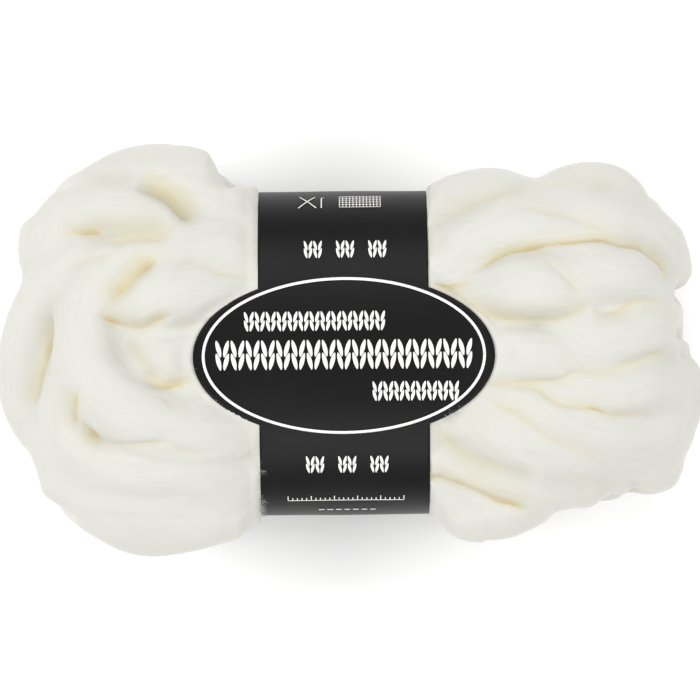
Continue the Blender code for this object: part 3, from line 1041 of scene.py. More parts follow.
        def place(share_along: Array, share_across: Array) -> Array:
            """The strip's points, just proud of the paper's face.

            Args:
                share_along: Their shares of the way along the stroke.
                share_across: Their shares of the way across it.

            Returns:
                The points in millimetres, one to a row.
            """
            s = share_along * run[-1]
            off = (share_across - 0.5) * np.interp(s, run, widths)
            x, y = (np.interp(s, run, way[:, k]) + off * np.interp(s, run, side[:, k]) for k in (0, 1))
            return self.band.place(-y, x, self.band.thickness + self.proud)

        columns = max(len(way) - 1, math.ceil(run[-1] / self.longest_face))
        return laid_grid(f"stroke_{number}", columns, 1, place)

    def build(self, finish: PrintFinish) -> bpy.types.Object:
        """Draws all the strokes and joins them to one print of even thickness.

        Args:
            finish: The ink's finish.

        Returns:
            The print's object.
        """
        self.oval_line()
        for patch in self.patches:
            self.knitting(patch)
        for y, i in itertools.product(self.small_rows, (-1, 0, 1)):
            self.knitting(self.small_patch._replace(x=self.small_patch.x + i * self.small_spacing, y=y))
        self.small_print()
        strips = [self.ribbon(stroke, i) for i, stroke in enumerate(self.strokes)]
        made = joined("band_print", strips)
        close_seams(made)
        made.data.materials.append(finish.material())
        finish_with(made, "SOLIDIFY", thickness=self.ink_thickness * MM, offset=1)
        return made


# ---------------------------------------------------------------- the turns of the winding
@dataclass(frozen=True)
class Turn:
    """One turn over the front.

    Its way is a row of stations (x, y, sink) or (x, y, sink, full). Sink is how far the strand's middle lies
    below where the body's crown bears it, and full is the share of its girth that it has there. A turn with a
    back value goes on round the end and returns on the underside at that distance across.
    """

    name: str
    girth: float
    back: float | None
    way: tuple[tuple[float, ...], ...]
    short_by: float = 0.0  # how far short of the body's end it turns


TURN_ROWS = {
    End.RIGHT: (
        ("right_rim_low", 20, None, ((36, 68, 1), (50, 73, 1), (68, 73, 2), (84, 68, 8), (98, 62, 16))),
        ("right_tuck", 15, None, ((36, 58, 3), (50, 63, 2), (64, 65, 4), (78, 62, 14))),
        ("right_rim_high", 20, 70, ((78, 64, 14), (96, 73, 3), (113, 76, 0), (125, 70, 0), (132, 60, 4))),
        ("right_saddle", 27, None, ((36, 41, 0), (54, 49, -1), (74, 55, -2), (96, 54, 1), (117, 49, 6),
         (134, 38, 18))),
        ("right_hook", 20, 44, ((67, 67, 10), (92, 66, 2), (112, 62, -1), (130, 57, -1), (142, 48, 1),
         (146, 37, 4), (143, 27, 12))),
        ("right_bean", 27, 18, ((84, 41, 14), (101, 37, 3), (115, 34, -2), (128, 32, 0), (138, 29, 9)), 9),
        ("right_oval", 26, None, ((36, 20, 7), (47, 22, 7), (57, 25, 3), (70, 27, -1, 1.06),
         (84, 28, -2, 1.08), (97, 25, 1), (109, 18, 12))),
        ("right_middle", 25, 0, ((82, 12, 14), (103, 5, 3), (121, 6, 0), (137, 10, 0)), 7),
        ("right_cross", 24, None, ((40, 0, 1), (60, -1, 1), (79, -2, 0), (94, -5, 2), (110, -13, 12))),
        ("right_wedge", 23, -14, ((60, -15, 12), (87, -17, 8), (105, -18, 2), (121, -18, 0), (136, -16, 0))),
        ("right_sweep", 24, -34, ((48, -19, 4), (76, -24, 2), (94, -32, 0), (112, -39, 0), (130, -41, 0),
         (145, -36, 0))),
        ("right_end_wall", 20, None, ((141, 12, 16), (149, -8, 2), (151, -26, 2), (146, -46, 4))),
        ("right_low_lobe", 21, -58, ((114, -54, 12), (129, -56, 2), (142, -53, 0))),
        ("right_low_sweep", 25, None, ((42, -33, 2), (62, -38, -1), (85, -47, -1), (104, -52, 2),
         (118, -55, 11))),
        ("right_low_rim", 21, None, ((37, -50, 1), (59, -58, 1), (82, -63, 1), (101, -61, 3),
         (114, -57, 12))),
        ("right_foot", 22, None, ((36, -65, 1), (55, -76, 0), (70, -75, 0), (86, -67, 6), (100, -60, 16))),
        ("right_low_filler", 24, None, ((113, -55, 12), (114, -55, 34), (109, -55, 58))),
    ),
    End.LEFT: (
        ("left_rim_low", 17, None, ((-41, 66, 1), (-51, 65, 0), (-62, 61, 2), (-74, 57, 10))),
        ("left_arch", 20, 66, ((-43, 57, 2), (-57, 65, 0), (-69, 80, 0), (-83, 84, 0), (-100, 83, 0),
         (-114, 75, 0))),
        ("left_shoulder", 24, None, ((-73, 55, 12), (-84, 59, 4), (-98, 62, -1), (-114, 63, -2),
         (-128, 59, -1), (-136, 50, 0), (-139, 38, 6), (-132, 26, 16))),
        ("left_outer", 21, None, ((-97, 43, 12), (-115, 42, 5), (-131, 34, 2), (-142, 20, 0), (-149, 2, 0),
         (-150, -16, 0), (-145, -32, 3), (-136, -46, 12))),
        ("left_loop", 26, None, ((-42, 44, 1), (-66, 46, 2), (-86, 46, 2), (-102, 40, 1), (-114, 28, -1),
         (-120, 12, -3, 1.02), (-119, -4, -4, 1.04), (-110, -19, -4, 1.1), (-96, -29, -3, 1.15),
         (-72, -37, -1, 1.08), (-42, -44, 1))),
        ("left_inner_rim", 23, None, ((-116, 8, 13), (-123, -7, 6), (-129, -23, 2), (-126, -38, 1),
         (-114, -51, 0), (-91, -56, 0), (-68, -58, 0), (-43, -60, 1))),
        ("left_heel", 19, None, ((-139, -32, 12), (-136, -46, 1), (-128, -60, 0), (-111, -70, 0),
         (-86, -73, 0), (-64, -72, 0), (-43, -68, 2))),
        ("left_foot", 20, -64, ((-41, -71, 2), (-54, -77, 0), (-74, -82, 0), (-95, -84, 0), (-111, -77, 0))),
        ("left_curl", 24, None, ((-106, 16, 9), (-97, 21, 1, 1.12), (-84, 25, -1, 1.22), (-66, 26, 0, 1.15),
         (-44, 27, 2))),
        ("left_inner", 24, None, ((-101, 0, 13), (-84, -5, 2), (-68, -4, 1), (-44, -3, 2))),
        ("left_fill_high", 16, None, ((-86, 40, 10), (-66, 36, 3), (-42, 35, 2))),
        ("left_fill_low", 17, None, ((-92, -19, 12), (-68, -24, 3), (-42, -25, 2))),
        ("left_heel_filler", 22, None, ((-127, -59, 11), (-127, -59, 26), (-127, -60, 42))),
    ),
}
TURNS = {end: tuple(Turn(*row) for row in rows) for end, rows in TURN_ROWS.items()}


class Hold(NamedTuple):
    """What a crevice does at each point: how deep it sinks it, how far off it is, and its painted shade."""

    sunk: Array
    off: Array  # in shares of the painted shade's width, and above zero on the crevice's soft side
    painted_shade: Array


@dataclass(frozen=True)
class Crevice:
    """A deep or shaded place between strands, or a dent in the outline, seen from above.

    It has the depth and half the width of its groove, the strength and half the width of the warm painted
    shade about it, which side of its way is the soft one (1 left, -1 right), and its way in plan. A depth
    below zero is a bulge.
    """

    name: str
    layer: Layer
    depth: float
    width: float
    painted_shade: float
    painted_shade_width: float
    soft_side: int
    way: tuple[tuple[float, float], ...]
    from_height: float = 58.0  # it fades out below this height
    full_height: float = 76.0
    fade: float = 9.0  # the stretch at each of its ends over which it fades
    soft_width: float = 1.5  # how much wider its groove is on the soft side, and on the other
    crisp_width: float = 0.8
    reach: float = 11.0  # how far from its line it is felt
    wander: float = 0.8  # how far its line strays, in mm
    uneven: float = 0.4  # how much stronger and weaker its painted shade is from place to place
    step: float = 1.2  # between the points of its line
    bottom_power: float = 1.4  # how round its bottom is; 2 is rounder
    wander_length: float = 10.0
    uneven_length: float = 9.0

    def hold(self, points: Array) -> Hold:
        """Works out what it does to the yarn.

        Args:
            points: The yarn's points, one to a row.

        Returns:
            What it does at each of them.
        """
        line = smooth_line(self.way, self.step)
        run = run_along(line)
        fading = smooth_step(np.minimum(run, run[-1] - run), -1.0, self.fade)
        ahead = np.gradient(line, axis=0)
        sunk, off, painted_shade = np.zeros(len(points)), np.full(len(points), FAR), np.zeros(len(points))
        reach = max(self.reach, 2 * self.width, 2 * self.painted_shade_width)
        inside = ((points[:, :2] > line.min(0) - reach) & (points[:, :2] < line.max(0) + reach)).all(1)
        near = np.flatnonzero(inside & (points[:, 2] > self.from_height))
        away = points[near, None, :2] - line[None]
        gaps = np.linalg.norm(away, axis=2)
        place = gaps.argmin(1)
        gap, away = (k[np.arange(len(near)), place] for k in (gaps, away))
        side = self.soft_side * np.sign(ahead[place, 0] * away[:, 1] - ahead[place, 1] * away[:, 0])
        width = self.width * np.where(side > 0, self.soft_width, self.crisp_width)
        here = fading[place] * smooth_step(points[near, 2], self.from_height, self.full_height)
        sunk[near] = self.depth * here * np.exp(-((gap / width) ** self.bottom_power))
        strayed = self.wander * SoftNoise(8).at(points[near] / self.wander_length)
        off[near] = (side * gap + strayed) / self.painted_shade_width
        patchy = 1 + self.uneven * SoftNoise(9).at(points[near] / self.uneven_length)
        painted_shade[near] = self.painted_shade * here * patchy * (1 - smooth_step(gap, 0.7 * reach, reach))
        return Hold(sunk, off, painted_shade)


ALL_HEIGHTS = (24.0, 46.0, 4.0)  # between which heights an outline's dent begins, and its fade
# where shade is painted on the yarn: broad painted shade, then two layers of warm painted crease lines; each
# row gives the name, the groove's depth and half width, the painted shade's strength and half width, the soft
# side and the way
CREVICE_ROWS = {
    Layer.SHADE: (
        ("shoulder_hollow_shade", 1.6, 5.5, 0.7, 5.0, 1, ((-94, 74), (-88, 72), (-82, 69), (-76, 65),
         (-72, 60), (-70, 56))),
        ("shoulder_brow", 0.5, 3.0, 0.35, 3.0, 1, ((-121, 75), (-114, 76), (-108, 76), (-101, 76),
         (-93, 73))),
        ("shoulder_dip", 1.4, 6.0, 0.6, 6.5, 1, ((-123, 55), (-112, 54), (-101, 53), (-90, 55), (-80, 57))),
        ("curl_corner", 0, 1, 0.2, 4.5, 1, ((-114, 20), (-109, 15), (-104, 12))),
        ("curl_shade", 0, 1, 0.5, 5.0, 1, ((-109, 16), (-105, 23), (-100, 30), (-93, 37), (-89, 42))),
        # painted shade, a faint darker patch by the neck
        ("neck_painted_shade", 0, 1, 0.25, 1.6, 1, ((-58, 65), (-50, 65), (-42, 65))),
        ("left_slit_shade", 0, 1, 0.3, 3.5, 1, ((-132, 29), (-134, 20), (-137, 4), (-140, -9), (-145, -24))),
        ("loop_shade", 0, 1, 0.25, 4.0, 1, ((-126, -14), (-124, -27), (-121, -36))),
        ("inner_shade", 0.8, 4.0, 0.6, 4.0, 1, ((-103, 8), (-97, 1), (-92, -6), (-89, -12), (-84, -18))),
        ("heel_line_high", 0.6, 2.2, 0.06, 2.0, 1, ((-106, -67), (-90, -67), (-77, -66), (-65, -66))),
        ("heel_line_low", 0.7, 2.2, 0.08, 2.0, 1, ((-112, -77), (-95, -76), (-81, -76), (-69, -75))),
        # painted shade, a faint darker patch on the heel
        ("heel_painted_shade", 0, 1, 0.25, 3.0, 1, ((-77, -66), (-64, -67))),
        ("saddle_end", 0.6, 4.0, 0.5, 4.2, 1, ((130, 47), (138, 42), (143, 35), (144, 27))),
        ("saddle_back", 1.0, 4.0, 0.38, 4.0, 1, ((34, 53), (40, 58), (47, 62), (53, 65), (61, 68), (70, 72),
         (82, 74))),
        ("band_shade", 0, 1, 0.5, 2.6, 1, ((35, 60), (35, 51), (36, 41))),
        ("band_shade_upper_left", 0, 1, 0.25, 2.8, 1, ((-43, 70), (-43, 62), (-43, 51), (-43, 40),
         (-43, 27))),
        ("band_shade_lower_left", 0, 1, 0.35, 2.8, 1, ((-43, -31), (-42, -40), (-42, -49), (-41, -59))),
        ("rim_patch", 0.8, 5.0, 0.35, 5.0, 1, ((105, 75), (114, 74), (122, 72))),
        ("oval_shade", 0, 1, 0.4, 4.5, 1, ((55, 19), (67, 15), (80, 14), (94, 16), (103, 19))),
        ("card_corner_shade", 0, 1, 0.6, 2.8, 1, ((35, 28), (42, 26), (47, 24), (52, 20), (59, 15))),
        ("middle_root", 0, 1, 0.7, 2.6, 1, ((58, -15), (65, -15), (73, -16))),
        ("foot_shade", 1.4, 6.0, 0.4, 5.0, 1, ((28, -30), (35, -35), (43, -42), (49, -48), (58, -52),
         (70, -55), (85, -59))),
        ("low_shade", 0.8, 5.0, 0.2, 5.0, 1, ((83, -59), (96, -60), (107, -61), (121, -61))),
    ),
    Layer.FIRST: (
        ("shoulder_foot", 2.0, 2.0, 1.0, 1.2, 1, ((-132, 50), (-127, 52), (-121, 52), (-114, 52),
         (-107, 50))),
        ("shoulder_foot_far", 1.4, 2.4, 0.5, 1.8, 1, ((-112, 50), (-103, 48), (-95, 50), (-86, 50),
         (-78, 53))),
        ("curl_foot", 2.0, 2.2, 0.9, 1.6, 1, ((-114, 17), (-107, 12), (-100, 9), (-92, 9), (-86, 12),
         (-78, 16))),
        ("neck_line_middle", 0.8, 1.2, 0.4, 0.9, 1, ((-68, 38), (-59, 34), (-51, 33), (-42, 32))),
        ("left_slit", 2.0, 1.8, 0.85, 1.2, -1, ((-134, 16), (-135, 9), (-136, 2), (-138, -5), (-140, -12),
         (-142, -19), (-145, -28))),
        ("loop_foot_corner", 1.4, 1.7, 1.0, 1.6, -1, ((-120, -31), (-116, -36), (-112, -40), (-107, -42))),
        ("loop_foot_far", 0.8, 1.6, 0.3, 1.2, -1, ((-84, -40), (-75, -44), (-65, -48))),
        ("inner_foot", 1.1, 2.0, 0.8, 1.5, 1, ((-94, -11), (-89, -16), (-84, -17), (-78, -16), (-68, -14))),
        ("saddle_foot", 2.0, 1.5, 0.95, 0.95, 1, ((54, 34), (62, 39), (67, 42), (72, 44), (79, 45), (87, 46),
         (94, 47), (100, 48), (112, 49), (121, 47), (129, 46), (135, 42), (140, 38), (142, 31))),
        ("arch_line", 0.4, 1.2, 0.3, 1.0, 1, ((34, 69), (44, 67), (55, 65))),
        ("bean_line", 0.7, 1.3, 0.42, 0.9, 1, ((81, 42), (87, 39), (92, 35), (98, 29), (104, 22))),
        ("bean_foot", 1.2, 1.8, 0.55, 1.2, -1, ((107, 18), (115, 17), (122, 20), (129, 22), (143, 23))),
        ("card_corner", 0.2, 1.6, 0.9, 1.4, -1, ((32, 28), (40, 28), (47, 29), (55, 31))),
        ("middle_foot", 1.0, 1.5, 0.6, 1.0, -1, ((60, -15), (73, -14), (87, -14), (94, -13), (100, -10),
         (112, -9), (119, -7), (127, -5), (135, -2), (146, -1))),
        ("wedge_core", 0.8, 1.0, 1.0, 0.8, 1, ((100, -26), (108, -27), (114, -29), (120, -30))),
        ("sweep_line", 0.7, 1.6, 0.4, 1.3, 1, ((58, -18), (66, -26), (74, -29), (80, -34), (87, -39),
         (97, -44), (106, -48), (115, -53))),
        ("foot_brow", 1.9, 2.3, 0.85, 1.8, 1, ((27, -57), (37, -59), (43, -60), (50, -62), (55, -64),
         (60, -66), (66, -69), (71, -70), (77, -72), (83, -74))),
    ),
    Layer.SECOND: (
        ("shoulder_hollow", 5.2, 3.4, 0.85, 2.2, 1, ((-98, 75), (-91, 73), (-86, 71), (-81, 68), (-76, 63),
         (-73, 59), (-71, 55))),
        ("lump_foot", 0.7, 1.8, 0.35, 1.5, -1, ((-131, 37), (-123, 38), (-117, 41), (-110, 43), (-104, 46))),
        ("curl_brow", 2.6, 2.8, 1.0, 2.3, -1, ((-86, 44), (-90, 38), (-95, 34), (-99, 29), (-103, 25),
         (-106, 19))),
        ("neck_line_high", 0.6, 1.2, 0.35, 1.0, 1, ((-80, 38), (-72, 40), (-65, 42))),
        ("neck_line_top", 0.7, 1.3, 0.3, 1.0, 1, ((-86, 49), (-80, 54), (-75, 57), (-67, 59))),
        ("neck_line_low", 0.8, 1.6, 0.3, 1.3, 1, ((-83, 11), (-75, 10), (-66, 8))),
        ("loop_foot_side", 1.3, 1.6, 0.95, 1.5, -1, ((-122, -16), (-123, -23), (-123, -31), (-122, -37))),
        ("loop_foot_under", 1.4, 1.4, 0.55, 0.9, -1, ((-112, -40), (-104, -42), (-95, -42), (-86, -41),
         (-78, -40))),
        ("inner_tail", 0.6, 1.4, 0.35, 1.2, 1, ((-88, -18), (-82, -23), (-76, -29))),
        ("saddle_foot_double", 0.3, 1.0, 0.35, 0.9, -1, ((70, 41), (77, 42), (85, 44), (92, 46))),
        ("saddle_line", 0.6, 1.3, 0.35, 1.1, 1, ((69, 67), (85, 62), (98, 59), (108, 55), (117, 51),
         (126, 48))),
        ("saddle_back_line", 0.5, 1.2, 0.35, 1.1, 1, ((43, 58), (53, 65), (61, 68), (73, 72))),
        ("rim_line", 0.4, 1.2, 0.3, 1.1, 1, ((85, 73), (97, 75), (110, 77))),
        ("oval_foot", 0.6, 2.2, 0.55, 1.6, 1, ((50, 25), (58, 16), (64, 14), (75, 13), (86, 13), (95, 14),
         (100, 16), (105, 19), (108, 24))),
        ("middle_branch", 0.3, 1.2, 0.2, 1.1, 1, ((89, 0), (93, -6), (97, -11))),
        ("wedge_foot", 1.6, 1.6, 0.55, 1.1, 1, ((66, -16), (82, -18), (89, -22), (95, -25), (106, -27),
         (114, -29), (121, -30), (135, -30))),
        ("low_line", 0.5, 1.2, 0.25, 1.1, 1, ((50, -30), (56, -38), (64, -46))),
        ("foot_shade_line", 0.5, 1.5, 0.4, 1.4, 1, ((34, -35), (42, -41), (48, -47), (57, -51), (71, -55))),
    ),
}
CREVICES = tuple(
    Crevice(name, layer, *rest) for layer, rows in CREVICE_ROWS.items() for name, *rest in rows)
OUTLINE = tuple(
    Crevice(name, Layer.SHADE, depth, width, 0.0, 1.0, 1, way, *ALL_HEIGHTS)
    for name, depth, width, way in (
        ("shoulder_bulge", -2.0, 7.0, ((-130, 62), (-141, 84))),
        ("shoulder_end_bulge", -3.2, 7.0, ((-139, 52), (-160, 60))),
        ("arch_bulge", -1.4, 4.5, ((-67, 78), (-66, 97))),
        ("arch_dent", 7.0, 3.8, ((-53, 73), (-52, 92))),
        ("rim_bump", -3.0, 5.0, ((-45, 67), (-45, 86))),
        ("foot_bulge_left", -4.0, 8.0, ((-47, -73), (-45, -94))),
        ("heel_bulge", -3.0, 7.0, ((-132, -60), (-151, -72))),
        ("left_notch", 0.8, 4.0, ((-144, 34), (-163, 39))),
        ("rim_bulge_right", -3.0, 6.0, ((38, 67), (38, 86))),
        ("foot_bulge_right", -3.6, 8.0, ((44, -73), (45, -93))),
        ("top_notch", 2.0, 5.0, ((84, 72), (85, 90))),
        ("top_right_notch", 1.6, 4.0, ((130, 64), (143, 77))),
        ("hook_bulge", -1.8, 8.0, ((144, 50), (161, 62))),
        ("bean_notch", 8.0, 3.4, ((147, 24), (168, 24))),
        ("middle_notch", 4.0, 3.4, ((147, 6), (166, 6))),
        ("middle_dent", 3.2, 6.0, ((149, -1), (167, -3))),
        ("low_corner_dent", 2.2, 6.0, ((147, -53), (161, -65))),
        ("low_lobe_dent", 1.8, 6.0, ((150, -36), (168, -40))),
        ("low_sweep_bulge", -2.2, 8.0, ((109, -62), (113, -82))),
        ("low_notch", 3.6, 3.6, ((127, -59), (131, -80))),
        ("low_small_notch", 1.6, 4.0, ((92, -69), (96, -86))),
    )
)


class Station(NamedTuple):
    """A place on a turn's way: how far its middle is sunk, and how full the strand is there."""

    x: float
    y: float
    sink: float
    full: float = 1.0


class Stop(NamedTuple):
    """Where a strand runs out of sight: its x, and the share of its distance across or of its height."""

    x: float
    share: float


class Nest(NamedTuple):
    """A turn that fills a long side: its height off the middle, and how far short of the end it turns."""

    height: float
    short_by: float


@dataclass
class Strand:
    """One length of roving: its way, its girth, and how its fibres lie."""

    name: str
    girth: float
    way: Sequence[tuple[float, ...]]  # points (x, y, z, full)
    body: SkeinBody
    number: int
    plump: float = 1.06  # how much fuller it is drawn than its girth, so that neighbours press together
    wide: float = 1.05  # it lies a little flattened on what carries it
    section_power: float = 2.3  # the roundness of its section; pressed strands are squarer than round ones
    lump: float = 0.06
    lump_length: float = 40.0
    lump_apart: float = 5.7  # in lengths of a lump, so that no two strands have the same ones
    twist: float = 0.012  # in radians for each mm
    apart: float = 137.0  # between the patterns of two strands, so that no two look alike
    step: float = 2.4  # between the rings of its skin
    sides: int = 32

    def __post_init__(self) -> None:
        """Works out the strand's middle line and the frame that its skin is drawn in."""
        drawn = smooth_line(self.way, self.step)
        self.line = drawn[:, :3]
        self.run = run_along(self.line)
        self.ahead = unit(np.gradient(self.line, axis=0))
        out = self.body.outward(self.line)
        self.out = unit(out - (out * self.ahead).sum(1, keepdims=True) * self.ahead)
        self.across = np.cross(self.ahead, self.out)
        self.radius = self.girth / 2 * self.plump * drawn[:, 3] * self.body.squeeze(self.line[:, 0])

    def sample(self, s: Array, values: Array) -> Array:
        """Reads values that the middle line's points have.

        Args:
            s: Distances along the line.
            values: A number or a row for each of its points.

        Returns:
            The values at those distances.
        """
        if values.ndim == 1:
            return np.interp(s, self.run, values)
        return np.stack([np.interp(s, self.run, k) for k in values.T], axis=1)

    def skin(self, share_along: Array, share_round: Array) -> Array:
        """Draws the strand's skin.

        Args:
            share_along: Shares of the way along the strand.
            share_round: Shares of the way round it.

        Returns:
            The skin's points in millimetres, one to a row.
        """
        s = share_along * self.run[-1]
        angle = -2 * math.pi * share_round
        cosine, sine = np.cos(angle), np.sin(angle)
        radius = self.sample(s, self.radius)
        to_end = np.minimum(s, self.run[-1] - s)
        dome = np.sqrt(1 - (1 - np.minimum(to_end / radius, 1)) ** 2)
        power = self.section_power
        squarer = (np.abs(cosine) ** power + np.abs(sine) ** power) ** (-1 / power)
        place = np.stack([s / self.lump_length + self.lump_apart * self.number, cosine, sine], axis=1)
        reach = radius * squarer * (1 + self.lump * SoftNoise(3).at(place)) * dome
        out, across = self.sample(s, self.out), self.sample(s, self.across)
        return (self.sample(s, self.line) + (reach * cosine / self.wide)[:, None] * out
                + (reach * sine * self.wide)[:, None] * across)

    def straight(self, points: Array, nearest: Array) -> Array:
        """Where points of the skin would be if the strand lay straight, so that patterns follow its fibres.

        Args:
            points: The points, in millimetres.
            nearest: For each, the number of the middle line's point that is nearest to it.

        Returns:
            A row for each point: how far along the strand it is, and its place in the strand's section.
        """
        away = points - self.line[nearest]
        ahead, out, across = (
            (away * axis[nearest]).sum(1) for axis in (self.ahead, self.out, self.across))
        s = self.run[nearest] + ahead
        turn = self.twist * s
        return np.stack([s + self.apart * self.number, out * np.cos(turn) - across * np.sin(turn),
                         out * np.sin(turn) + across * np.cos(turn)], axis=1)

    def build(self) -> bpy.types.Object:
        """Rolls a flat grid into the strand's closed skin."""
        columns = math.ceil(self.run[-1] / self.step)
        return laid_grid(self.name, columns, self.sides, self.skin)


@dataclass
class Winding:
    """All the turns of the skein, worked out from the tables."""

    body: SkeinBody
    under_band: Stop = Stop(8, 0.9)
    underside: tuple[Stop, ...] = (Stop(84, 1.0), Stop(40, 0.85), Stop(8, 0.8))
    sides: tuple[Stop, ...] = (Stop(12, 0.75), Stop(42, 0.8), Stop(66, 1.0), Stop(88, 1.0))
    underside_bend: float = 128.0  # where a strand that came round the end reaches the underside
    under_band_within: float = 10.0  # a way that starts this near the squeezed waist comes out of it
    buried_end: float = 4.0
    bend_short_by: float = 1.5  # in radii: how far short of the body's end a strand has bent under
    back_turns_each_end: int = 8
    back_girth: float = 24.0
    back_spread: float = 64.0
    back_sway: float = 3.0  # how unevenly they lie on the underside, and where they come round the end
    end_sway: float = 6.0
    back_start: tuple[float, float, float, float] = (1.5, 18, 0.9, 12)  # girths from the end and sink, twice
    back_widest_at: float = 118.0  # how far from the middle they must lie inside the body's flanks
    back_inset: float = 6.0
    nests: tuple[Nest, ...] = (Nest(32, 14), Nest(11, 30))
    nest_girth: float = 22.5
    nest_lean: float = 0.6  # how much sooner a higher one bends in
    nest_inset: float = 3.0
    nest_tip: float = 1.6  # in radii: how far inside the flank it turns

    def wound_way(self, turn: Turn) -> list[tuple[float, ...]]:
        """The points of a turn's middle: out of the waist, over the front and, with a back, round the end.

        Args:
            turn: The turn's row of the table.

        Returns:
            The points (x, y, z, full), in millimetres.
        """
        body, radius = self.body, turn.girth / 2
        stations = [Station(*row) for row in turn.way]
        points = [(s.x, s.y, body.crown(s.x, s.y, radius * float(body.squeeze(s.x))) - s.sink, s.full)
                  for s in stations]
        first, last = stations[0], stations[-1]
        end = End.RIGHT if first.x > 0 else End.LEFT
        for station, place in ((first, 0), (last, len(points))):
            if abs(station.x) < body.squeeze_from + self.under_band_within:
                at, across = end.value * self.under_band.x, station.y * self.under_band.share
                points.insert(place, (at, across, body.crown(at, across, radius) - self.buried_end, 1.0))
        if turn.back is None:
            return points
        middle = (last.y + turn.back) / 2
        tip = end.value * (body.reach_at(end, middle) - radius - turn.short_by)
        points.append((tip, middle, body.mid_height, 1.0))
        bend = min(self.underside_bend, body.reach_at(end, turn.back) - self.bend_short_by * radius)
        for stop in (Stop(bend, 1.0), *self.underside):
            at, across = end.value * stop.x, turn.back * stop.share
            height = body.crown(at, across, radius * float(body.squeeze(at)), Side.BACK)
            points.append((at, across, height, 1.0))
        return points

    def back_turns(self, end: End) -> list[Turn]:
        """Plain turns for the underside of one end, each a little different from the next.

        Args:
            end: The end.

        Returns:
            The turns.
        """
        turns = []
        for i in range(self.back_turns_each_end):
            back = self.back_spread * (2 * i / (self.back_turns_each_end - 1) - 1)
            back += self.back_sway * math.sin(2.3 * i + end.value)
            widest = float(self.body.flank(end.value * self.back_widest_at, back)) - self.back_girth / 2
            back = max(min(back, widest), -widest)
            front = back * 0.9 + self.end_sway * math.sin(1.7 * i + 2 * end.value)
            reach = self.body.reach_at(end, front) - self.back_inset
            inner, inner_sink, outer, outer_sink = self.back_start
            way = ((end.value * (reach - inner * self.back_girth), front, inner_sink),
                   (end.value * (reach - outer * self.back_girth), front, outer_sink))
            turns.append(Turn(f"{end.name.lower()}_back_{i}", self.back_girth, back, way, self.back_inset))
        return turns

    def nested_way(self, end: End, edge: int, nest: Nest) -> list[tuple[float, ...]]:
        """The points of a turn that fills a long side: out of the waist, round and back in again.

        Args:
            end: The skein's end that it turns at.
            edge: 1 for the side at the photograph's top, -1 for the other.
            nest: Its height and how far short of the end it turns.

        Returns:
            The points (x, y, z, full), in millimetres.
        """
        radius = self.nest_girth / 2
        turn_at = self.body.reach_at(end, edge * self.back_spread) - nest.short_by - radius
        bend = turn_at - self.nest_lean * nest.height
        outward = []
        for stop in (*self.sides, Stop(bend, 0.9)):
            if stop.x <= bend:
                flank = float(self.body.flank(end.value * stop.x, edge))
                across = flank - radius * float(self.body.squeeze(stop.x)) - self.nest_inset
                outward.append((end.value * stop.x, edge * across, nest.height * stop.share))
        flank = float(self.body.flank(end.value * turn_at, edge))
        tip = (end.value * turn_at, edge * (flank - self.nest_tip * radius), 0)
        homeward = [(x, y, -height) for x, y, height in reversed(outward)]
        return [(x, y, self.body.mid_height + height, 1.0) for x, y, height in (*outward, tip, *homeward)]

    def strands(self, end: End) -> list[Strand]:
        """Every strand at one end of the skein.

        Args:
            end: The end.

        Returns:
            The strands, numbered in their order.
        """
        turns = (*TURNS[end], *self.back_turns(end))
        ways = [(turn.name, turn.girth, self.wound_way(turn)) for turn in turns]
        ways += [("side_nest", self.nest_girth, self.nested_way(end, edge, nest))
                 for edge, nest in itertools.product((1, -1), self.nests)]
        return [Strand(name, girth, way, self.body, number) for number, (name, girth, way) in enumerate(ways)]


def relaxed(points: Array, edges: Array, rounds: int, share: Array | float = 1.0) -> Array:
    """Points drawn towards the middle of their neighbours, as when a surface is smoothed by hand.

    Args:
        points: The mesh's points.
        edges: The pairs of points that are neighbours.
        rounds: How many times they are drawn.
        share: How far each point goes, from 0 to 1.

    Returns:
        The moved points.
    """
    count = np.bincount(edges.ravel(), minlength=len(points))[:, None]
    share = np.reshape(share, (-1, 1)) * 0.5
    for _ in range(rounds):
        total = np.stack([
            np.bincount(edges[:, 0], points[edges[:, 1], k], len(points))
            + np.bincount(edges[:, 1], points[edges[:, 0], k], len(points)) for k in range(3)], axis=1)
        points = points + share * (total / count - points)
    return points


class Skin(NamedTuple):
    """The yarn's finished skin: its points, the way each faces, and the way its fibres run."""

    points: Array
    normals: Array
    ahead: Array


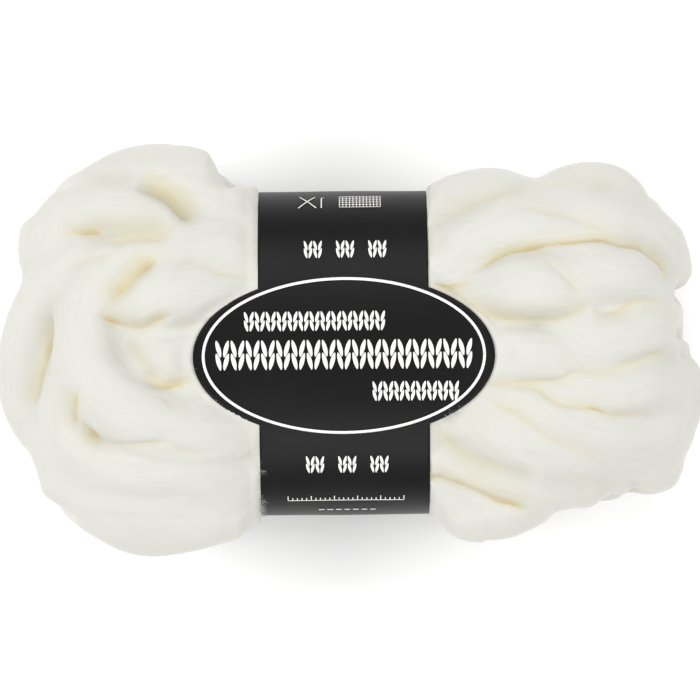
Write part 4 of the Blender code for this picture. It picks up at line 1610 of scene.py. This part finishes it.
@dataclass
class YarnHalf:
    """The yarn on one side of the band: its strands pressed together to one soft wound body."""

    end: End
    body: SkeinBody
    band: PaperBand
    winding: Winding
    grain: float = 1.26  # the fineness at which the strands are made one
    first_smoothing: int = 3
    smoothing: int = 62  # how far the creases between them are softened
    firmer_sides: float = 0.7  # how much less that is on the skein's sides and underside
    softer_between: tuple[float, float] = (58.0, 92.0)  # the heights between which it is no longer so
    after_smoothing: int = 2
    settle_height: float = 4.0  # the yarn's lowest millimetres, which its weight flattens
    core_depth: float = 12.0  # how far the inner yarn lies inside the body's outline
    core_depth_at_band: float = 3.0
    core_full_to: float = 36.0  # how far from the middle it is as full as at the band, and where that ends
    core_thin_from: float = 62.0
    core_short_by: float = 20.0
    core_past_middle: float = 14.0
    core_bluntness: float = 1.6
    fold: float = 0.28  # how deep the furrows between its locks of fibres are
    fold_at_band: float = 0.6
    fold_eases_over: tuple[float, float] = (44.0, 84.0)  # from the middle, between band and free yarn
    fold_width: float = 4.4
    fold_length: float = 34.0
    puff: float = 0.45  # how far its softer and firmer places rise and sink
    puff_width: float = 9.0
    puff_length: float = 17.0
    merge_width: float = 5.0  # how near two strands' furrows end before they meet
    merged_within: float = 0.3
    strand_reach: float = 22.0  # how far off a strand's middle a point may be and belong to it
    rows_at_once: int = 8000
    crease_rounds: int = 16
    crease_full: float = 1.4  # how hollow a place is whose plain crease is painted in full shade, in mm
    plain_painted_shade: float = 0.3  # how strong the painted shade of a plain crease is beside a crevice's
    parting: float = 1.5  # how far, in widths, one crevice's line keeps from the next one's of its layer
    skin: Skin | None = None  # once it is built

    def settled(self, points: Array) -> Array:
        """Presses yarn in by the band, and flattens it where the skein lies on its own weight.

        Args:
            points: The yarn's points, one to a row.

        Returns:
            The moved points.
        """
        pressed = self.band.press(points)
        height = (pressed[:, 2] - FLOOR) / self.settle_height
        eased = np.maximum(np.exp(np.minimum(height - 1, 0)) - math.exp(-1), 0) / (1 - math.exp(-1))
        pressed[:, 2] = FLOOR + self.settle_height * np.where(height < 1, eased, height)
        return pressed

    def core(self) -> bpy.types.Object:
        """The yarn inside the half, which shows only as the bottom of the deepest creases.

        Returns:
            The inner yarn's object.
        """
        deselect()
        bpy.ops.mesh.primitive_uv_sphere_add(segments=48, ring_count=32, radius=1)
        thing = bpy.context.active_object
        x, y, z = vectors_of(thing.data).T
        reach = np.where(x * self.end.value > 0, self.body.sections[-1].x - self.core_short_by,
                         self.core_past_middle)
        x = x * reach
        around = np.maximum(np.hypot(y, z), 1e-6)
        fullness = np.minimum(1, self.core_bluntness * around)
        thinner = smooth_step(np.abs(x), self.core_full_to, self.core_thin_from)
        depth = self.core_depth_at_band + (self.core_depth - self.core_depth_at_band) * thinner
        y = y / around * (self.body.flank(x, y) - depth) * fullness
        z = z / around * (self.body.half_depth(x) - depth) * fullness
        move_points(thing.data, np.stack([x, y, self.body.mid_height + z], axis=1))
        return thing

    def pressed_together(self, strands: Sequence[Strand]) -> bpy.types.Object:
        """Makes the strands and the inner yarn one closed body, without the hollows inside it.

        Args:
            strands: The strands.

        Returns:
            The body's object.
        """
        name = f"yarn_{self.end.name.lower()}"
        piece = joined(name, [*[strand.build() for strand in strands], self.core()])
        close_seams(piece)
        finish_with(piece, "REMESH", mode="VOXEL", voxel_size=self.grain * MM)
        bpy.ops.object.mode_set(mode="EDIT")
        bpy.ops.mesh.separate(type="LOOSE")
        bpy.ops.object.mode_set(mode="OBJECT")
        parts = sorted(bpy.context.selected_objects, key=lambda part: len(part.data.vertices))
        for hollow in parts[:-1]:
            bpy.data.objects.remove(hollow)
        parts[-1].name = parts[-1].data.name = name
        return parts[-1]

    def nearest(self, points: Array, strands: Sequence[Strand]) -> tuple[Array, Array, Array]:
        """Which strand each point belongs to.

        Args:
            points: The points of the body's skin.
            strands: The strands.

        Returns:
            Each point's strand and the nearest point of that strand's middle line, as their numbers, and how
            much farther off the next strand is.
        """
        best, second = (np.full(len(points), FAR) for _ in range(2))
        strand_of, place_of = (np.zeros(len(points), int) for _ in range(2))
        for number, strand in enumerate(strands):
            low, high = strand.line.min(0) - self.strand_reach, strand.line.max(0) + self.strand_reach
            near = np.flatnonzero(((points > low) & (points < high)).all(1))
            for rows in np.array_split(near, max(1, len(near) // self.rows_at_once)):
                squares = (points[rows] ** 2).sum(1)[:, None] + (strand.line**2).sum(1)
                gaps = np.sqrt(np.maximum(squares - 2 * points[rows] @ strand.line.T, 0)) - strand.radius
                place = gaps.argmin(1)
                gap = gaps[np.arange(len(rows)), place]
                closer = gap < best[rows]
                second[rows] = np.where(closer, best[rows], np.minimum(second[rows], gap))
                rows, place, gap = rows[closer], place[closer], gap[closer]
                best[rows], strand_of[rows], place_of[rows] = gap, number, place
        return strand_of, place_of, second - best

    def shade(self, mesh: bpy.types.Mesh, held: Sequence[tuple[Layer, Hold]], hollow: Array) -> None:
        """Keeps where shade is painted on the yarn, broad and as warm crease lines, for the material.

        Args:
            mesh: The half's mesh.
            held: Each crevice's layer, and what the crevice does.
            hollow: How far each point lies below the surface that smoothing would make.
        """
        # painted shade in every plain crease, the stronger the deeper it lies below the smoothed surface
        plain = self.plain_painted_shade * smooth_step(hollow, 0.0, self.crease_full)
        shades = [hold.painted_shade * np.exp(-(hold.off**2)) for layer, hold in held if layer is Layer.SHADE]
        write_attribute(mesh, "shade", np.max([plain, *shades], axis=0))
        for line in (Layer.FIRST, Layer.SECOND):
            holds = [hold for layer, hold in held if layer is line]
            gaps = np.abs([hold.off for hold in holds])
            first, second = np.partition(gaps, 1, axis=0)[:2]
            off, painted_shade = (np.choose(gaps.argmin(0), [hold[k] for hold in holds]) for k in (1, 2))
            painted_shade *= smooth_step(second - first, 0, self.parting)
            write_attribute(mesh, line.value, np.stack([off, painted_shade, 0 * painted_shade], axis=1))

    def lay_fibres(self, mesh: bpy.types.Mesh, points: Array, normals: Array,
                   strands: Sequence[Strand]) -> None:
        """Draws the furrows between locks of fibres, and settles the half in its place.

        Args:
            mesh: The half's mesh.
            points: Its points.
            normals: The way that each of them faces.
            strands: The strands, along which the fibres run.
        """
        strand_of, place_of, margin = self.nearest(points, strands)
        straight, ahead = np.zeros_like(points), np.zeros_like(points)
        for number, strand in enumerate(strands):
            rows = np.flatnonzero(strand_of == number)
            straight[rows] = strand.straight(points[rows], place_of[rows])
            ahead[rows] = strand.ahead[place_of[rows]]
        furrows = SoftNoise(5).at(straight / (self.fold_length, self.fold_width, self.fold_width))
        puffs = SoftNoise(6).at(straight / (self.puff_length, self.puff_width, self.puff_width))
        near_band = 1 - smooth_step(np.abs(points[:, 0]), *self.fold_eases_over)
        depth = self.fold + (self.fold_at_band - self.fold) * near_band
        rise = (depth * furrows + self.puff * puffs) * smooth_step(margin, 0, self.merge_width)
        points = self.settled(points + rise[:, None] * normals)
        move_points(mesh, points)
        write_attribute(mesh, "laid_straight", straight)
        write_attribute(mesh, "whole", smooth_step(margin, self.merged_within, self.merge_width))
        self.skin = Skin(points, normals, ahead)

    def build(self) -> bpy.types.Object:
        """Winds the half, softens its creases, sinks its crevices and lays its fibres.

        Returns:
            The half's object.
        """
        strands = self.winding.strands(self.end)
        piece = self.pressed_together(strands)
        mesh = piece.data
        edges = np.empty(len(mesh.edges) * 2, np.int32)
        mesh.edges.foreach_get("vertices", edges)
        edges = edges.reshape(-1, 2)
        points = relaxed(vectors_of(mesh) / MM - SETTLED_BY, edges, self.first_smoothing)
        low = 1 - smooth_step(points[:, 2], *self.softer_between)
        points = relaxed(points, edges, self.smoothing, 1 - self.firmer_sides * low)
        move_points(mesh, points)
        held = [(crevice.layer, crevice.hold(points)) for crevice in CREVICES]
        dents = [hold.sunk for _, hold in held] + [dent.hold(points).sunk for dent in OUTLINE]
        sunk = np.max(dents, axis=0) + np.min(dents, axis=0)
        points = relaxed(points - sunk[:, None] * vectors_of(mesh, "normal"), edges, self.after_smoothing)
        move_points(mesh, points)
        normals = vectors_of(mesh, "normal")
        self.shade(mesh, held, ((relaxed(points, edges, self.crease_rounds) - points) * normals).sum(1))
        self.lay_fibres(mesh, points, normals, strands)
        return piece


@dataclass
class StrayFibres:
    """The single fibres that stand off the roving, and the tufts of them that creep over the band's edges."""

    band: PaperBand
    skins: Sequence[Skin]
    count: int = 1300
    length: tuple[float, float] = (3.0, 8.5)
    tufts: tuple[tuple[float, float, int], ...] = (  # each one's middle, and how many fibres it has
        (-39, -72, 70), (-39, -68, 40), (-40, -54, 14), (45, -30, 34), (48, -27, 20), (-60, -24, 16),
    )
    tuft_reach: float = 3.4
    tuft_length: tuple[float, float] = (1.2, 4.0)
    bare_margin: float = 2.0  # how far past the paper's edge none stand off
    floor_margin: float = 3.0
    lift: tuple[float, float] = (0.03, 0.22)  # how far one stands off, as a share of its length
    root: float = 0.2  # how deep in the skin it begins
    bow: float = 0.3  # how far it bends aside, as a share of its length
    tuft_spread: float = 0.7  # in radians, how far the fibres of a tuft point apart
    tuft_bend: float = 0.5
    tuft_lift: tuple[float, float] = (0.05, 0.5)  # how far off the paper they lie
    tuft_root: float = 0.3  # how far inside the paper's edge one may begin
    tuft_over: float = 0.5  # how far outside it they already lie as on the paper
    thickness: float = 0.05  # a single fibre is half as thick, and would not show
    stations: int = 6
    seed: int = 7

    def off_the_skin(self, rng: np.random.Generator) -> list[Array]:
        """Fibres that stand off anywhere on the yarn.

        Args:
            rng: The source of random numbers.

        Returns:
            Each fibre's points.
        """
        ways = []
        while len(ways) < self.count:
            skin = self.skins[rng.integers(len(self.skins))]
            i = rng.integers(len(skin.points))
            start, out, ahead = (k[i] for k in skin)
            if start[2] < FLOOR + self.floor_margin or self.band.past_edge(start[None])[0] < self.bare_margin:
                continue
            t = np.linspace(0, 1, self.stations)[:, None]
            lift, lean, bow = rng.uniform(*self.lift), rng.choice((-1, 1)), rng.normal(0, self.bow)
            arch = t * lean * ahead + lift * np.sin(t * 2.6) * out + bow * t**2 * np.cross(ahead, out)
            ways.append(start - self.root * out + rng.uniform(*self.length) * arch)
        return ways

    def over_the_band(self, rng: np.random.Generator) -> list[Array]:
        """Fibres that creep from the yarn onto the paper.

        Args:
            rng: The source of random numbers.

        Returns:
            Each fibre's points.
        """
        ways = []
        for x, y, fibres in self.tufts:
            skin = self.skins[0 if x > 0 else 1]
            near = np.flatnonzero((np.hypot(*(skin.points[:, :2] - (x, y)).T) < self.tuft_reach)
                                  & (self.band.past_edge(skin.points) > -self.tuft_root)
                                  & (skin.points[:, 2] > self.band.body.mid_height))
            for i in rng.choice(near, fibres):
                heading = rng.normal(0, self.tuft_spread) + (math.pi if x > 0 else 0)
                t = np.linspace(0, 1, self.stations)[:, None]
                bend = rng.normal(0, self.tuft_bend) * t
                flat = np.hstack([np.cos(heading + bend), np.sin(heading + bend), 0 * t])
                way = skin.points[i] + rng.uniform(*self.tuft_length) * t * flat + (0, 0, 0.5)
                along, across = self.band.to_band(way[:, 0], way[:, 1])
                out = self.band.thickness + rng.uniform(*self.tuft_lift)
                paper = self.band.place(self.band.run_at(across), along, out)
                ways.append(np.where(self.band.past_edge(way)[:, None] < self.tuft_over, paper, way))
        return ways

    def build(self, material: bpy.types.Material) -> bpy.types.Object:
        """Draws each fibre as a thin tapering curve, and makes them one mesh.

        Args:
            material: The roving's material.

        Returns:
            The fibres' object.
        """
        rng = np.random.default_rng(self.seed)
        curve = bpy.data.curves.new("stray_fibres", "CURVE")
        curve.dimensions = "3D"
        curve.bevel_depth = self.thickness / 2 * MM
        curve.bevel_resolution = 0
        for way in (*self.off_the_skin(rng), *self.over_the_band(rng)):
            way[:, 2] = np.maximum(way[:, 2], FLOOR + 0.2)
            spline = curve.splines.new("POLY")
            spline.points.add(self.stations - 1)
            for point, place in zip(spline.points, (way + SETTLED_BY) * MM):
                point.co = (*place, 1)
            spline.points[0].radius = spline.points[-1].radius = 0.02
        thing = bpy.data.objects.new("stray_fibres", curve)
        bpy.context.scene.collection.objects.link(thing)
        pick(thing)
        bpy.ops.object.convert(target="MESH")
        made = bpy.context.active_object
        close_seams(made, within=0.004)
        places = vectors_of(made.data) / MM
        plain = np.zeros(len(places))
        write_attribute(made.data, "laid_straight", places)
        write_attribute(made.data, "whole", plain + 1)
        write_attribute(made.data, "shade", plain)
        for line in (Layer.FIRST, Layer.SECOND):
            write_attribute(made.data, line.value, np.stack([plain + FAR, plain, plain], axis=1))
        made.data.materials.append(material)
        return made


# ---------------------------------------------------------------- the studio
@dataclass(frozen=True)
class Lamp:
    """A soft square lamp: where it hangs, its size and its power."""

    name: str
    place: Point
    size: float
    power: float


@dataclass(frozen=True)
class Studio:
    """The floor, the light and the camera, in metres."""

    lamps: tuple[Lamp, ...] = (
        Lamp("left_softbox", (-1.9, 0.3, 1.9), 1.5, 27.2),
        Lamp("right_softbox", (1.9, 0.3, 1.8), 1.5, 17.4),
        Lamp("back_softbox", (0.0, 1.6, 2.0), 1.5, 20.0),
        Lamp("front_softbox", (-0.1, -1.6, 2.0), 1.5, 24.0),
    )
    aim: Point = (0, 0, 0.05)  # what the lamps point at
    surround: float = 0.57  # the brightness of the white room
    floor_size: float = 6.0
    eye: Point = (-0.00046, -0.00023, 1.8)
    view_height: float = 0.060  # the height at which the photograph's scale was taken
    view_width: float = 0.32326  # what the photograph shows at that height
    sensor: float = 36.0

    def floor(self) -> None:
        """A plain white floor, far wider than the picture."""
        deselect()
        bpy.ops.mesh.primitive_grid_add(x_subdivisions=4, y_subdivisions=4, size=self.floor_size)
        floor = bpy.context.active_object
        floor.name = floor.data.name = "floor"
        floor.data.materials.append(SweepFinish().material())

    def light(self) -> None:
        """Four soft lamps about the skein, in a white room."""
        for lamp in self.lamps:
            bpy.ops.object.light_add(type="AREA", location=lamp.place)
            light = bpy.context.active_object
            light.name = lamp.name
            light.data.size = lamp.size
            light.data.energy = lamp.power
            light.rotation_euler = (Vector(self.aim) - Vector(lamp.place)).to_track_quat("-Z", "Y").to_euler()
        world = bpy.data.worlds.new("white_room")
        world.use_nodes = True
        sky = world.node_tree.nodes["Background"]
        sky.inputs["Color"].default_value = (1, 1, 1, 1)
        sky.inputs["Strength"].default_value = self.surround
        bpy.context.scene.world = world
        bpy.context.scene.view_settings.view_transform = "Standard"

    def camera(self) -> None:
        """Looks straight down on the skein, framed as in the photograph."""
        bpy.ops.object.camera_add(location=self.eye, rotation=(0, 0, 0))
        camera = bpy.context.active_object
        camera.name = "camera"
        camera.data.sensor_width = self.sensor
        camera.data.lens = self.sensor * (self.eye[2] - self.view_height) / self.view_width
        bpy.context.scene.camera = camera


def main() -> None:
    """Builds the band, the yarn and the studio, and hides the imported parts that they take the place of."""
    logging.basicConfig(level=logging.INFO, format="%(message)s")
    studio = Studio()
    studio.camera()
    body = SkeinBody()
    band = PaperBand(body)
    paper = band.build(CardFinish(), CutEdgeFinish())
    ink = BandPrint(band).build(PrintFinish())
    for piece in (paper, ink):
        dress(piece, piece.data.materials[0])
    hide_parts("label_band")
    band.length() * MM

    roving = RovingFinish().material()
    halves = [YarnHalf(end, body, band, Winding(body)) for end in End]
    for half in halves:
        piece = half.build()
        dress(piece, roving)
        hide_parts("yarn_skein")
    fibres = StrayFibres(band, [half.skin for half in halves]).build(roving)
    dress(fibres, roving)
    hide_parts("yarn_skein")

    studio.floor()
    studio.light()


if __name__ == "__main__":
    main()
